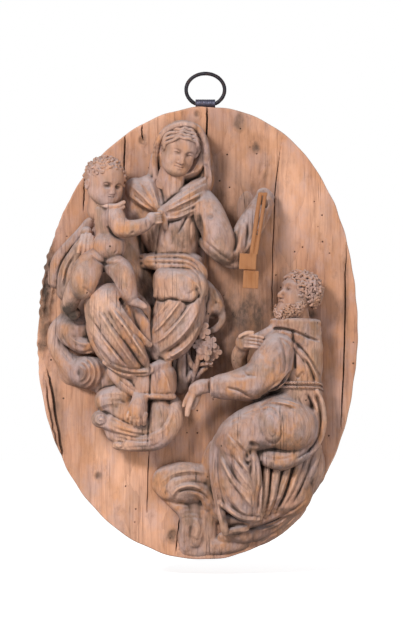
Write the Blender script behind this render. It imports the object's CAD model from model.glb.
import math
import time
import bpy
import numpy as np
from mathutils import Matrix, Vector


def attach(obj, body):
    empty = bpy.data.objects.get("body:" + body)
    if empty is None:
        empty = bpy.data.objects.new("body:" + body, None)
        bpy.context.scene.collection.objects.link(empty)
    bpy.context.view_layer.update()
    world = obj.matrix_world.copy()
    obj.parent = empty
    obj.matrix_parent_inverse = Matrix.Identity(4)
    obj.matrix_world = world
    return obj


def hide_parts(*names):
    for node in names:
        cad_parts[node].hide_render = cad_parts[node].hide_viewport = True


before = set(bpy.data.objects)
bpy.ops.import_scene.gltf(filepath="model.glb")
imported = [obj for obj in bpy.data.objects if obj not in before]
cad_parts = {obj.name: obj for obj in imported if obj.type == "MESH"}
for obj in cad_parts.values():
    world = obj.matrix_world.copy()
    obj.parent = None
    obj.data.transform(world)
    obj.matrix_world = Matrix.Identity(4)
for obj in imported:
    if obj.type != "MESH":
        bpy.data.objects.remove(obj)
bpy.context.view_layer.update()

started = time.time()
coarse = 1.0
fullTurn = 6.283
thirdTurn = 2.0944
goldenTurn = 2.39996   # radians between neighbours on a spiral that covers a ball evenly


def stage(text):
    print(f"{time.time() - started:6.1f} s  {text}")


# clay: carving on a block of voxels, in mm
# Axes are right (x), out of the wall (d) and up (z). The field is below zero in the wood.

class Clay:
    def __init__(self, low, high, step):
        self.step = step
        self.low = low
        self.axes = [np.arange(low[k], high[k] + step, step, dtype=np.float32) for k in range(3)]
        self.field = np.full([a.size for a in self.axes], 30.0, np.float32)

    def window(self, low, high):
        cuts = []
        for k in range(3):
            first = int(np.searchsorted(self.axes[k], low[k]))
            last = int(np.searchsorted(self.axes[k], high[k], side="right"))
            cuts.append(slice(first, max(first, last)))
        return tuple(cuts)

    def grid(self, cuts):
        x = self.axes[0][cuts[0]][:, None, None]
        d = self.axes[1][cuts[1]][None, :, None]
        z = self.axes[2][cuts[2]][None, None, :]
        return x, d, z

    def put(self, cuts, shape, blend, cutting):
        here = self.field[cuts]
        if here.size == 0:
            return
        other = -shape if cutting else shape
        if blend > 0:
            mix = np.maximum(blend - np.abs(here - other), 0) / blend
            soft = mix * mix * blend * 0.25
        else:
            soft = 0
        if cutting:
            self.field[cuts] = np.maximum(here, other) + soft
        else:
            self.field[cuts] = np.minimum(here, other) - soft

    def ball(self, centre, radii, blend=0.0, turn=0.0, lean=0.0, cutting=False, square=2.0):
        # turn is in the front view, anticlockwise; lean tips the top towards the viewer; square 2 is an ellipsoid
        reach = max(radii) + blend + 2 * self.step
        cuts = self.window([c - reach for c in centre], [c + reach for c in centre])
        x, d, z = self.grid(cuts)
        x, d, z = x - centre[0], d - centre[1], z - centre[2]
        a, b = math.radians(turn), math.radians(lean)
        u = x * math.cos(a) + z * math.sin(a)
        v = -x * math.sin(a) + z * math.cos(a)
        w = d
        if lean:
            v, w = v * math.cos(b) + w * math.sin(b), -v * math.sin(b) + w * math.cos(b)
        u, w, v = (np.abs(t) / r for t, r in zip((u, w, v), radii))
        size = (u ** square + w ** square + v ** square) ** (1 / square) + 1e-4
        slope = np.sqrt((u ** (square - 1) / radii[0]) ** 2 + (w ** (square - 1) / radii[1]) ** 2
                        + (v ** (square - 1) / radii[2]) ** 2) / size ** (square - 1) + 1e-6
        self.put(cuts, (size - 1) / slope, blend, cutting)

    def limb(self, stations, blend=0.0, flat=1.0, cutting=False):
        # stations of x, d, z and radius, joined by a smooth curve
        points = smoothed(stations, 4)
        for a, b in zip(points[:-1], points[1:]):
            reach = max(a[3], b[3]) * max(1, flat) + blend + 2 * self.step
            low = [min(a[k], b[k]) - reach for k in range(3)]
            high = [max(a[k], b[k]) + reach for k in range(3)]
            cuts = self.window(low, high)
            x, d, z = self.grid(cuts)
            ax, ad, az = b[0] - a[0], (b[1] - a[1]) / flat, b[2] - a[2]
            px, pd, pz = x - a[0], (d - a[1]) / flat, z - a[2]
            along = np.clip((px * ax + pd * ad + pz * az) / max(ax * ax + ad * ad + az * az, 1e-6), 0, 1)
            away = np.sqrt((px - along * ax) ** 2 + (pd - along * ad) ** 2 + (pz - along * az) ** 2)
            radius = a[3] + (b[3] - a[3]) * along
            self.put(cuts, (away - radius) * min(1, flat), blend, cutting)

    def relief(self, strokes, above=0.0, fade=6.0):
        # moves the surface out or in along d, by mm seen from the front, on what stands out further than "above"
        strokes.height = softened(strokes.height, 1, 1)
        height = strokes.sample(self.axes[0], self.axes[2]) / self.step
        d = self.axes[1]
        share = np.clip((d - above) / fade, 0, 1)[None, :, None].astype(np.float32)
        count = np.arange(d.size, dtype=np.float32)[None, :, None]
        for first in range(0, self.axes[0].size, 48):
            part = self.field[first:first + 48]
            spot = np.clip(count - height[first:first + 48, None, :] * share, 0, d.size - 1.001)
            base = spot.astype(np.int32)
            spot -= base
            self.field[first:first + 48] = (np.take_along_axis(part, base, 1) * (1 - spot)
                                            + np.take_along_axis(part, base + 1, 1) * spot)

    def seal(self):
        for k in range(3):
            edge = [slice(None)] * 3
            for side in (0, -1):
                edge[k] = side
                self.field[tuple(edge)] = np.maximum(self.field[tuple(edge)], 0.4)


def smoothed(stations, pieces):
    # a smooth curve through stations, which are rows of numbers or are written as in "0 10, 5 12, 9 20"
    if isinstance(stations, str):
        stations = [station.split() for station in stations.split(",")]
    p = np.array(stations, float)
    if len(p) < 3:
        return p
    ends = np.vstack([2 * p[0] - p[1], p, 2 * p[-1] - p[-2]])
    out = []
    for i in range(1, len(ends) - 2):
        a, b, c, e = ends[i - 1:i + 3]
        for s in np.arange(pieces) / pieces:
            out.append(0.5 * (2 * b + (c - a) * s + (2 * a - 5 * b + 4 * c - e) * s * s
                              + (3 * b - a - 3 * c + e) * s ** 3))
    out.append(p[-1])
    return np.array(out)


# strokes: shallow folds drawn in the front view

class Strokes:
    def __init__(self, low, high, step=0.8, gouge=1.3):
        self.step = step
        self.gouge = gouge   # all folds are cut this much deeper than drawn
        self.xs = np.arange(low[0], high[0], step, dtype=np.float32)
        self.zs = np.arange(low[1], high[1], step, dtype=np.float32)
        self.height = np.zeros((self.xs.size, self.zs.size), np.float32)

    def draw(self, points, width, height, side=0, taper=0.25):
        # side 0 is a rounded fold; 1 or -1 is a lip that drops sharply to the right or left of the way it runs
        line = smoothed(points, 6)
        lengths = np.concatenate([[0], np.cumsum(np.hypot(*np.diff(line, axis=0).T))])
        reach = 3.2 * width
        i0, i1 = np.searchsorted(self.xs, [line[:, 0].min() - reach, line[:, 0].max() + reach])
        j0, j1 = np.searchsorted(self.zs, [line[:, 1].min() - reach, line[:, 1].max() + reach])
        if i0 >= i1 or j0 >= j1:
            return
        x = self.xs[i0:i1, None]
        z = self.zs[None, j0:j1]
        best = np.full((i1 - i0, j1 - j0), 1e9, np.float32)
        place = np.zeros_like(best)
        across = np.zeros_like(best)
        for k in range(len(line) - 1):
            ax, az = line[k + 1] - line[k]
            span = max(ax * ax + az * az, 1e-6)
            t = np.clip(((x - line[k][0]) * ax + (z - line[k][1]) * az) / span, 0, 1)
            ex, ez = x - line[k][0] - t * ax, z - line[k][1] - t * az
            away = np.hypot(ex, ez)
            near = away < best
            best = np.where(near, away, best)
            place = np.where(near, lengths[k] + t * math.sqrt(span), place)
            across = np.where(near, np.sign(ax * ez - az * ex), across)
        share = place / max(lengths[-1], 1e-6)
        ends = np.clip(np.minimum(share, 1 - share) / max(taper, 1e-3), 0, 1)
        ends = np.sin(ends * math.pi / 2)
        if side:
            wide = np.where(across * side < 0, width * 0.28, width)
        else:
            wide = width
        self.height[i0:i1, j0:j1] += self.gouge * height * ends * np.exp(-(best / wide) ** 1.5)

    def weather(self, seed):
        # small unevenness, drawn out along the grain
        x, z = self.xs[:, None], self.zs[None, :]
        self.height += 0.34 * ripple(x, z * 0.7, 9, seed) + 0.24 * ripple(x, z * 0.3, 4.5, seed + 1)

    def sample(self, xs, zs):
        i = np.clip((xs - self.xs[0]) / self.step, 0, self.xs.size - 1.001)
        j = np.clip((zs - self.zs[0]) / self.step, 0, self.zs.size - 1.001)
        i0, j0 = i.astype(int), j.astype(int)
        a, b = (i - i0)[:, None], (j - j0)[None, :]
        h = self.height
        inside = ((xs >= self.xs[0]) & (xs <= self.xs[-1]))[:, None] & ((zs >= self.zs[0]) & (zs <= self.zs[-1]))[None]
        rows = h[i0] * (1 - a) + h[np.minimum(i0 + 1, self.xs.size - 1)] * a
        out = rows[:, j0] * (1 - b) + rows[:, np.minimum(j0 + 1, self.zs.size - 1)] * b
        return out * inside


    def along(self, spots):
        # the height at each point
        i = np.clip((spots[:, 0] - self.xs[0]) / self.step, 0, self.xs.size - 1.01)
        j = np.clip((spots[:, 2] - self.zs[0]) / self.step, 0, self.zs.size - 1.01)
        return self.height[i.astype(int), j.astype(int)]


footprint = Strokes((-230, -320), (230, 320), 2.0)   # where figures stand on the ground


def addFootprint(clay, above=36.0):
    low = clay.field[:, np.searchsorted(clay.axes[1], above):, :].min(1)
    i = np.clip(np.round((clay.axes[0] - footprint.xs[0]) / 2).astype(int), 0, footprint.xs.size - 1)
    j = np.clip(np.round((clay.axes[2] - footprint.zs[0]) / 2).astype(int), 0, footprint.zs.size - 1)
    a, b = np.meshgrid(i, j, indexing="ij")
    np.maximum.at(footprint.height, (a, b), (low < 0).astype(np.float32))


# from clay to mesh

def skin(clay):
    # one vertex in each cell that the surface passes, one quad at each grid edge that it crosses
    f = clay.field
    wood = f < 0
    count = np.zeros([n - 1 for n in f.shape], np.int8)
    corners = [(a, b, c) for a in (0, 1) for b in (0, 1) for c in (0, 1)]
    for a, b, c in corners:
        count += wood[a:f.shape[0] - 1 + a, b:f.shape[1] - 1 + b, c:f.shape[2] - 1 + c]
    cells = np.flatnonzero((count > 0) & (count < 8))
    number = np.full(count.size, -1, np.int32)
    number[cells] = np.arange(cells.size)
    number = number.reshape(count.shape)
    i, j, k = np.unravel_index(cells, count.shape)
    value = {q: f[i + q[0], j + q[1], k + q[2]] for q in corners}
    total = np.zeros((cells.size, 3), np.float32)
    hits = np.zeros(cells.size, np.float32)
    for q in corners:
        for axis in range(3):
            if q[axis]:
                continue
            r = list(q)
            r[axis] = 1
            u, v = value[q], value[tuple(r)]
            cross = (u < 0) != (v < 0)
            t = np.where(cross, u / np.where(cross, u - v, 1), 0)
            spot = np.array(q, np.float32)[None, :].repeat(cells.size, 0)
            spot[:, axis] = t
            total += spot * cross[:, None]
            hits += cross
    points = total / hits[:, None] + np.stack([i, j, k], 1)
    points = points * clay.step + np.array(clay.low, np.float32)
    quads = []
    for axis in range(3):
        near = [slice(1, n - 1) for n in f.shape]
        far = list(near)
        near[axis] = slice(0, f.shape[axis] - 1)
        far[axis] = slice(1, f.shape[axis])
        first = wood[tuple(near)]
        change = first != wood[tuple(far)]
        at = np.array(np.nonzero(change)).T
        inward = first[change]
        for m in range(3):
            at[:, m] += 0 if m == axis else 1
        m, n = (axis + 1) % 3, (axis + 2) % 3
        ring = []
        for s, t in ((1, 1), (0, 1), (0, 0), (1, 0)):
            spot = at.copy()
            spot[:, m] -= s
            spot[:, n] -= t
            ring.append(number[spot[:, 0], spot[:, 1], spot[:, 2]])
        ring = np.stack(ring, 1)
        ring[~inward] = ring[~inward][:, ::-1]
        quads.append(ring)
    return points, np.concatenate(quads)


def meshObject(name, points, faces):
    mesh = bpy.data.meshes.new(name)
    size = faces.shape[1]
    mesh.vertices.add(len(points))
    mesh.vertices.foreach_set("co", points.astype(np.float32).ravel())
    mesh.loops.add(faces.size)
    mesh.loops.foreach_set("vertex_index", faces.astype(np.int32).ravel())
    mesh.polygons.add(len(faces))
    mesh.polygons.foreach_set("loop_start", np.arange(0, faces.size, size, dtype=np.int32))
    mesh.update(calc_edges=True)
    item = bpy.data.objects.new(name, mesh)
    bpy.context.scene.collection.objects.link(item)
    return item


def applied(item):
    # the object with its modifier's result as its own mesh
    done = bpy.data.meshes.new_from_object(item.evaluated_get(bpy.context.evaluated_depsgraph_get()))
    item.modifiers.clear()
    old = item.data
    item.data = done
    bpy.data.meshes.remove(old)
    done.name = item.name
    return done


def shaded(item, note):
    # smooth shading, and a line that reports the piece
    mesh = item.data
    mesh.polygons.foreach_set("use_smooth", np.ones(len(mesh.polygons), bool))
    mesh.update()
    stage(f"{item.name}: {note}{sum(len(p.vertices) - 2 for p in mesh.polygons)} triangles")
    return item


def softened(volume, voxels, passes=2):
    # a running mean along each axis
    for _ in range(passes):
        for axis in range(volume.ndim):
            n = volume.shape[axis]
            padded = np.concatenate([np.take(volume, [0], axis).repeat(voxels + 1, axis), volume,
                                     np.take(volume, [-1], axis).repeat(voxels, axis)], axis)
            run = np.cumsum(padded, axis, dtype=np.float32)
            head = [slice(None)] * volume.ndim
            tail = [slice(None)] * volume.ndim
            head[axis] = slice(2 * voxels + 1, 2 * voxels + 1 + n)
            tail[axis] = slice(0, n)
            volume = (run[tuple(head)] - run[tuple(tail)]) / (2 * voxels + 1)
    return volume


def looked(volume, step, low, points):
    # the volume's value at each point
    spot = (points - np.array(low, np.float32)) / step
    spot = [np.clip(spot[:, k], 0, volume.shape[k] - 1.001) for k in range(3)]
    base = [s.astype(int) for s in spot]
    part = [s - b for s, b in zip(spot, base)]
    out = np.zeros(len(points), np.float32)
    for a in (0, 1):
        for b in (0, 1):
            for c in (0, 1):
                weight = ((part[0] if a else 1 - part[0]) * (part[1] if b else 1 - part[1])
                          * (part[2] if c else 1 - part[2]))
                out += weight * volume[base[0] + a, base[1] + b, base[2] + c]
    return out


def carvedPiece(name, clay, look, place=None, shadow=None):
    # place is a 4 by 4 matrix that takes the clay's own axes, in mm, to those of the object
    clay.seal()
    points, quads = skin(clay)
    item = meshObject(name, points, quads)
    full = 2 * len(quads)
    if full > look["triangles"]:
        less = item.modifiers.new("fewer", "DECIMATE")
        less.ratio = look["triangles"] / full
        less.use_collapse_triangulate = True
        applied(item)
    mesh = item.data
    flat = np.empty(len(mesh.vertices) * 3, np.float32)
    mesh.vertices.foreach_get("co", flat)
    spots = flat.reshape(-1, 3)
    # how deep each point lies between its neighbours, at three sizes: below zero on edges, above in hollows
    thin = clay.field[::2, ::2, ::2]
    wood = np.clip(0.5 - thin / (2 * clay.step), 0, 1).astype(np.float32)
    depth = {}
    for reach in (14.0, 6.0, 2.6):
        voxels = max(1, int(round(reach / (2 * clay.step))))
        depth[reach] = 2 * looked(softened(wood, voxels), 2 * clay.step, clay.low, spots) - 1
    hollow = 0.55 * np.maximum(depth[14.0], 0) + 0.75 * depth[6.0]
    if shadow is not None:
        hollow = hollow + shadow.along(spots) * (spots[:, 1] > 20)
    for attribute, values in (("hollow", hollow), ("crease", depth[2.6])):
        layer = mesh.attributes.new(attribute, "FLOAT", "POINT")
        values = np.where(values > 0, look.get("grime", 1.0) * values, values)
        layer.data.foreach_set("value", values.astype(np.float32))
    # dark places of the front, each an oval of x, z, half width, half height and strength
    stain = np.zeros(len(spots), np.float32)
    for sx, sz, rx, rz, strength in look.get("stains", ()):
        away = ((spots[:, 0] - sx) / rx) ** 2 + ((spots[:, 2] - sz) / rz) ** 2
        stain = np.maximum(stain, strength * np.exp(-away ** 2))
    mesh.attributes.new("stain", "FLOAT", "POINT").data.foreach_set("value", stain)
    world = np.stack([spots[:, 0], -spots[:, 1], spots[:, 2]], 1)
    if place is not None:
        world = spots @ place[:3, :3].T + place[:3, 3]
        world = np.stack([world[:, 0], -world[:, 1], world[:, 2]], 1)
    mesh.vertices.foreach_set("co", (world * 0.001).astype(np.float32).ravel())
    mesh.update()
    mesh.flip_normals()
    return shaded(item, f"{full} to ")


# the panel

panel = {
    "halfWidth": 214.5, "halfHeight": 302.5, "thickness": 30.0, "edge": 2.2,
    "joints": [-97, -52, 13, 108, 198],
    "levels": [0.0, 0.5, -0.4, 0.3, -0.7, 0.2],
    "knots": [(-73, 259, 6), (79, 249, 5), (57, 283, 9), (0, 294, 5), (-33, -271, 7), (-132, -191, 5)],
    "cracks": [("13.2 306, 13.5 285, 12.6 262, 13.4 244", 2.2, 12, 0.2),
               ("-73 280, -74 268, -72 259", 1.8, 5, 0.2),
               ("-96 268, -97 240, -98 214", 1.9, 7, 0.2),
               ("-151 212, -151 190, -152 164", 1.6, 5, 0.3),
               ("115 265, 106 205, 102 130, 101 60, 101 30", 1.4, 3, 0.3),
               ("200 122, 198 20, 196 -60, 192 -140", 1.7, 9, 0.3),
               ("-64 -150, -66 -200, -67 -240", 1.3, 3, 0.2),
               ("13 -236, 13 -262, 12 -294", 2.0, 9, 0.2),
               ("-23 -246, -26 -270, -29 -300", 1.7, 5, 0.2),
               ("-200 -48, -196 -70, -189 -110, -182 -150, -178 -190", 3.4, 7, 0.9),
               ("-204 -60, -198 -100, -191 -135, -184 -170", 2.4, 5, 0.7),
               ("-212 -14, -204 -17", 3.0, 6, 0.5)],
    "wormHoles": 90, "shadow": 0.48, "voxel": 1.0, "triangles": 156000,
    "stains": [(-73, 259, 6, 8, 0.9), (79, 249, 6, 9, 0.9), (57, 283, 9, 14, 0.7), (0, 294, 4, 5, 0.7),
               (-33, -271, 8, 10, 0.8), (-132, -191, 6, 6, 0.6), (-202, 100, 15, 32, 0.95), (-204, 50, 15, 36, 1.0),
               (-204, 8, 9, 20, 0.7), (-207, -16, 8, 9, 0.7), (52, 60, 50, 70, 0.35), (66, 26, 40, 32, 0.95),
               (40, 190, 30, 50, 0.3), (36, -16, 44, 34, 0.5), (152, 25, 9, 5, 1.0), (105, 25, 7, 4, 1.0),
               (160, -190, 14, 40, 0.25), (150, -215, 26, 18, 0.3), (-187, -115, 10, 64, 0.55), (168, -190, 8, 30, 0.6),
               (66, 64, 26, 40, 0.3), (150, 262, 7, 5, 0.5), (-100, 232, 4, 12, 0.4), (199, 20, 5, 120, 0.4),
               (70, 220, 46, 60, 0.22), (-110, 215, 40, 45, 0.18), (150, -178, 5, 12, 0.8), (160, -160, 4, 7, 0.6),
               (-90, -60, 30, 70, 0.2)],
}


def ovalRadius(angle):
    swell = (0.012 * np.cos(angle) + 0.008 * np.sin(2 * angle)
             - 0.011 * np.cos(3 * angle) - 0.007 * np.cos(4 * angle))
    return 1.009 + swell


def ripple(x, z, size, seed):
    # smooth noise from a few crossing waves, about -1 to 1
    rng = np.random.default_rng(seed)
    out = 0
    for _ in range(7):
        angle = rng.uniform(0, math.pi)
        scale = size * rng.uniform(0.7, 1.5)
        out = out + np.sin((x * math.cos(angle) + z * math.sin(angle)) * fullTurn / scale + rng.uniform(0, fullTurn))
    return out / 3.2


def crack(clay, points, width, deep, front, wobble, seed):
    # an open split of the front, along points of x and z
    rng = np.random.default_rng(seed)
    line = smoothed(points, 5)
    n = len(line)
    stations = []
    for i, (x, z) in enumerate(line):
        share = i / (n - 1)
        ends = min(1.0, 5 * share, 5 * (1 - share)) * 0.6 + 0.4
        stations.append((x + rng.normal(0, wobble), front, z, width * 0.5 * ends))
    for a, b in zip(stations[:-1], stations[1:]):
        clay.limb([a, b], blend=0.0, flat=2 * deep / width, cutting=True)


def carvePanel():
    step = panel["voxel"] * coarse
    clay = Clay((-224, -3, -312), (224, 36, 312), step)
    x, d, z = clay.grid((slice(None),) * 3)
    x, z = x[:, 0, :], z[0]
    angle = np.arctan2(z / panel["halfHeight"], x / panel["halfWidth"])
    rho = np.hypot(x / panel["halfWidth"], z / panel["halfHeight"])
    rim = (rho - ovalRadius(angle)) * np.hypot(panel["halfWidth"] * np.cos(angle),
                                               panel["halfHeight"] * np.sin(angle))
    rim = rim + 0.7 * ripple(x, z, 46, 3) * np.exp(-(rim / 14) ** 2)
    # bark edge and chips at the left, worn lower right
    left = np.exp(-((z - 55) / 85) ** 2) * (x < 0)
    rim = rim + left * (1.6 + 1.3 * ripple(x, z, 9, 4) + 1.0 * ripple(x, z, 22, 5))
    right = np.exp(-((z + 235) / 45) ** 2) * (x > 60)
    rim = rim + right * (0.6 + 1.1 * ripple(x, z, 14, 6))
    # the front: planks a little out of level, tool marks along the grain
    front = np.full_like(rim, panel["thickness"])
    edges = [-400, *panel["joints"], 400]
    for n in range(len(edges) - 1):
        inside = (x >= edges[n]) & (x < edges[n + 1])
        front = front + inside * panel["levels"][n]
    front = front + 0.35 * ripple(x, z * 0.25, 24, 7) + 0.22 * ripple(x, z * 0.12, 7, 8)
    front = front + 0.6 * ripple(x, z, 60, 9)
    bark = np.clip((-(x + 186) / 10), 0, 1) * np.exp(-((z - 62) / 78) ** 2)
    front = front - bark * (2.2 + 1.8 * ripple(x, z, 8, 10) + 1.4 * ripple(x, z * 0.4, 13, 11))
    swell = np.exp(-((x - 92) / 16) ** 2 - ((z - 214) / 30) ** 2)
    front = front + 2.4 * swell * (0.8 + 0.5 * ripple(x, z * 0.5, 9, 14))
    worn = np.clip((x - 70) / 40, 0, 1) * np.clip((-z - 165) / 40, 0, 1)
    front = front + worn * (0.8 * ripple(x, z, 12, 12) + 0.9 * ripple(x, z * 0.5, 26, 13))
    for kx, kz, radius in panel["knots"]:
        away = np.hypot(x - kx, (z - kz) * 0.8)
        front = front + 1.1 * np.exp(-((away - radius) / 2.2) ** 2) - 0.9 * np.exp(-(away / (radius * 0.7)) ** 2)
    side = rim[:, None, :]
    face = d - front[:, None, :]
    soft = panel["edge"]
    a = np.maximum(side + soft, 0)
    b = np.maximum(face + soft, 0)
    clay.field = (np.hypot(a, b) + np.minimum(np.maximum(side + soft, face + soft), 0) - soft).astype(np.float32)
    clay.field = np.maximum(clay.field, -d).astype(np.float32)
    for number, (path, width, deep, wobble) in enumerate(panel["cracks"]):
        crack(clay, path, width, deep, panel["thickness"], wobble, number + 1)
    rng = np.random.default_rng(21)
    for _ in range(panel["wormHoles"]):
        hx, hz = rng.uniform(-200, 200), rng.uniform(-290, 290)
        if (hx / 205) ** 2 + (hz / 292) ** 2 < 1:
            clay.limb([(hx, 24, hz, rng.uniform(0.7, 1.1)), (hx, 40, hz, 1.0)], cutting=True)
    # the let-in place of the strap, at the back
    clay.limb("11.2 -1 309 6.2, 11.2 5.8 309 6.2", cutting=True)
    lay = clay.window((-3.2, -5, 253), (25.6, 3.4, 320))
    clay.field[lay] = np.maximum(clay.field[lay], 0.5)
    near = clay.window((-3.2, -5, 296), (25.6, 12.5, 320))
    _, dd, zz = clay.grid(near)
    roll = np.hypot(dd - strapIron["eyeOut"], zz - strapIron["eyeHeight"]) - 6.1
    clay.field[near] = np.maximum(clay.field[near], -roll)
    footprint.height = panel["shadow"] * softened(footprint.height, 5, 3)
    return carvedPiece("panel_ground", clay, panel, shadow=footprint)


# the seated woman and the clouds below

woman = {
    "voxel": 0.9, "triangles": 196000, "floor": 22.0,
    "stains": [(4, 238, 5, 16, 0.6), (-53, 226, 4, 18, 0.6), (18, 155, 6, 5, 0.45), (-22, 128, 20, 22, 0.6),
               (-46, 108, 20, 12, 0.5), (-82, 186, 18, 14, 0.3), (-68, 70, 12, 30, 0.8), (30, 98, 24, 9, 0.45),
               (2, 136, 8, 24, 0.9), (86, 178, 8, 12, 0.7), (-66, 128, 14, 24, 0.55), (-168, 24, 16, 14, 0.9),
               (-153, -54, 6, 12, 0.6), (8, -20, 24, 28, 0.35), (-20, -50, 16, 24, 0.4), (-112, -94, 14, 10, 0.3)],
}


def carveWoman():
    clay = Clay((-206, woman["floor"], -166), (114, 130, 296), woman["voxel"] * coarse)
    ball, limb = clay.ball, clay.limb
    # wood left behind the figures
    limb("-150 20 100 26, -160 20 40 24, -150 20 10 22", 6)
    limb("-110 20 170 30, -100 24 90 38, -90 24 10 44", 10)
    limb("-30 22 230 22, -30 22 150 40, -20 22 80 34", 10)
    limb("-60 22 20 44, -60 22 -50 36", 10)
    ball((66, 20, 166), (20, 13, 36), 10)
    # trunk and shoulders
    ball((-34, 50, 150), (44, 34, 54), 8)
    ball((-30, 56, 122), (32, 30, 40), 8)
    ball((-72, 46, 176), (30, 24, 28), 10)
    ball((-2, 56, 184), (20, 22, 20), 10)
    # upper arm and elbow, with the sleeve's edge hanging below
    limb("-2 60 186 15, 15 74 162 18.5, 27 82 130 20, 33 82 114 17.5, 40 80 107 13", 5)
    limb("8 62 122 6, 22 68 108 7, 40 72 96 7, 52 74 92 6", 3)
    # fore-arm sleeve, widening to its cuff
    limb("47 74 98 8, 55 76 116 13, 66 70 138 15, 82 58 162 15, 91 48 180 11", 4)
    limb("58 82 110 6, 72 80 126 7, 86 66 150 7, 98 54 172 5", 3)
    limb("80 52 178 3, 84 52 189 3, 92 50 190 3.5, 101 48 182 3", 2)
    # socket of the lost hand and the slot beside it
    limb("85.5 72 189 4.6, 88 68 178 5.2, 91 62 167 3", 1, 2.0, cutting=True)
    limb("61 94 132 2, 61 94 110 2.4", 1, 2.4, cutting=True)
    # hood
    ball((-20, 54, 243), (37.5, 38, 42), 3, turn=-4)
    limb("-56 58 236 5, -57 54 214 6, -58 50 202 8", 6)
    limb("8 56 244 7, 12 54 224 7.5, 13 56 208 8, 10 60 196 8", 6)
    ball((-21, 94, 242), (29.5, 38, 34), 2, turn=4, cutting=True)
    limb("-14 98 226 19, -10 92 212 14", 2, cutting=True)
    limb("-49 86 240 6, -50 82 222 6, -49 78 206 6", 2, cutting=True)
    limb("4 86 244 8, 5 80 228 7, 1 80 218 6", 2, cutting=True)
    # the hood's edge
    limb("-53 62 196 4.5, -55 68 212 3.4, -56 74 232 3.2, -52 84 255 3.4, -39 90 271 3.6, -19 92 278 3.6, "
         "-1 89 274 3.6, 9 84 260 3.4, 13 78 242 3.6, 14 71 222 3.8, 15 68 206 4.4, 13 68 196 5", 3)
    # neck again, after the hood is hollowed
    limb("-28 72 226 12, -31 69 203 13, -32 63 184 17", 3)
    # mantle over the chest: broad cloth whose folds meet at the brooch
    limb("-82 56 192 16, -66 70 179 12, -50 82 164 5", 4)
    limb("-67 58 200 11, -59 70 186 10, -49 83 165 5", 4)
    limb("5 64 195 12, -10 75 183 13, -28 82 171 9, -46 86 162 4", 4)
    limb("2 64 176 9, -11 75 165 9, -27 81 157 6, -43 84 153 4", 3)
    limb("13 68 206 3.5, -6 82 194 3.8, -26 87 180 3.4, -46 88 166 3", 1.5)
    ball((-48, 90, 161), (5, 5, 5), 2)
    limb("-46 88 158 4, -43 88 148 3.6, -42 85 139 2.6", 2)
    # hollow behind the child, between the mantle folds
    limb("-88 92 180 4, -78 94 168 7, -74 94 158 6", 2, cutting=True)
    # dark gap between bodice and arm
    limb("1 92 158 3, 3 88 142 6, 0 84 124 8, -3 84 112 5", 2, 1.6, cutting=True)
    # girdle: flat bands that turn down over the right hip
    ball((-32, 62, 96), (40, 22, 13), 4, square=2.6)
    for lift, drop, out in ((103.5, 66, 82), (97, 60, 84), (90.5, 54, 84)):
        limb([(-76, 52, lift, 3), (-48, out - 6, lift - 1, 4.4), (-20, out, lift - 2, 4.6),
              (-4, out - 3, lift - 8, 4.6),
              (4 + (lift - 90) * 0.35, out - 9, lift - 20, 4.2), (7 + (lift - 90) * 0.2, out - 14, drop, 3.2)], 2.2)
    # lap: the right thigh as a broad block of cloth, its folds falling to the left
    ball((-25, 67, 67), (32, 34, 22), 5, turn=-4, square=2.8)
    limb("-46 82 69 14, -28 85 66 16, -8 83 65 15, 2 80 60 11", 8)
    limb("-54 84 54 6, -38 92 52 6.5, -14 92 51 6.5, 2 86 51 5.5", 6)
    limb("-30 76 44 22, -38 75 14 22, -46 73 -12 18, -50 72 -28 13", 5)
    limb("-6 70 42 17, -18 73 12 17, -32 74 -12 14", 6)
    limb("-20 92 48 6, -36 94 25 7.5, -50 90 6 6.5, -59 85 -4 4", 4)
    limb("0 86 44 7, -14 90 18 8.5, -34 89 -6 8, -54 84 -18 5", 4)
    limb("6 70 32 6, -6 76 2 8, -24 80 -22 8, -46 79 -34 5", 4)
    # between the knees
    ball((-76, 56, 0), (32, 34, 42), 8)
    limb("-90 70 42 10, -76 78 24 12, -66 79 6 10, -61 80 -10 6", 4)
    limb("-80 72 52 4, -67 80 34 5, -62 82 12 4", 2)
    limb("-69 90 92 9, -68 88 70 11, -64 88 54 7", 2, 1.8, cutting=True)
    # left knee and shin under the skirt
    ball((-118, 82, 38), (30, 36, 29), 7, turn=8, square=2.3)
    limb("-117 82 34 26, -112 85 8 26, -101 84 -16 25, -90 80 -36 21, -82 76 -44 16", 8)
    limb("-134 62 12 14, -124 64 -14 14, -112 66 -36 10", 6)
    # ridges of the cloth over the shin
    limb("-143 84 38 7, -136 93 12 9, -122 98 -12 9, -106 96 -32 7, -98 92 -44 4", 3)
    limb("-136 100 52 6, -124 108 26 9.5, -108 110 -2 10, -92 105 -28 8, -82 98 -46 4", 3)
    limb("-120 108 54 5, -106 113 28 8, -92 112 4 9, -78 106 -20 8, -66 98 -42 4", 3)
    limb("-108 106 42 5, -95 112 22 6, -80 108 3 6, -64 100 -14 5", 3)
    limb("-101 110 45 2.6, -88 110 28 4.8, -74 106 9 4.8, -61 100 -9 2.5", 1.5, 2.4, cutting=True)
    # hem of the mantle and the underskirt
    limb("-122 76 -38 4, -106 88 -46 5, -86 95 -50 5, -66 96 -50 5, -60 94 -44 4", 2)
    limb("-60 92 -46 5, -50 86 -43 6, -40 78 -40 6", 4)
    ball((-58, 66, -64), (31, 28, 25), 4, square=3.2)
    limb("-112 66 -50 8, -98 72 -62 10, -84 78 -74 9", 5)
    limb("-84 82 -79 3.4, -62 90 -82 4, -44 87 -83 4, -31 79 -84 3.4", 3)
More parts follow.
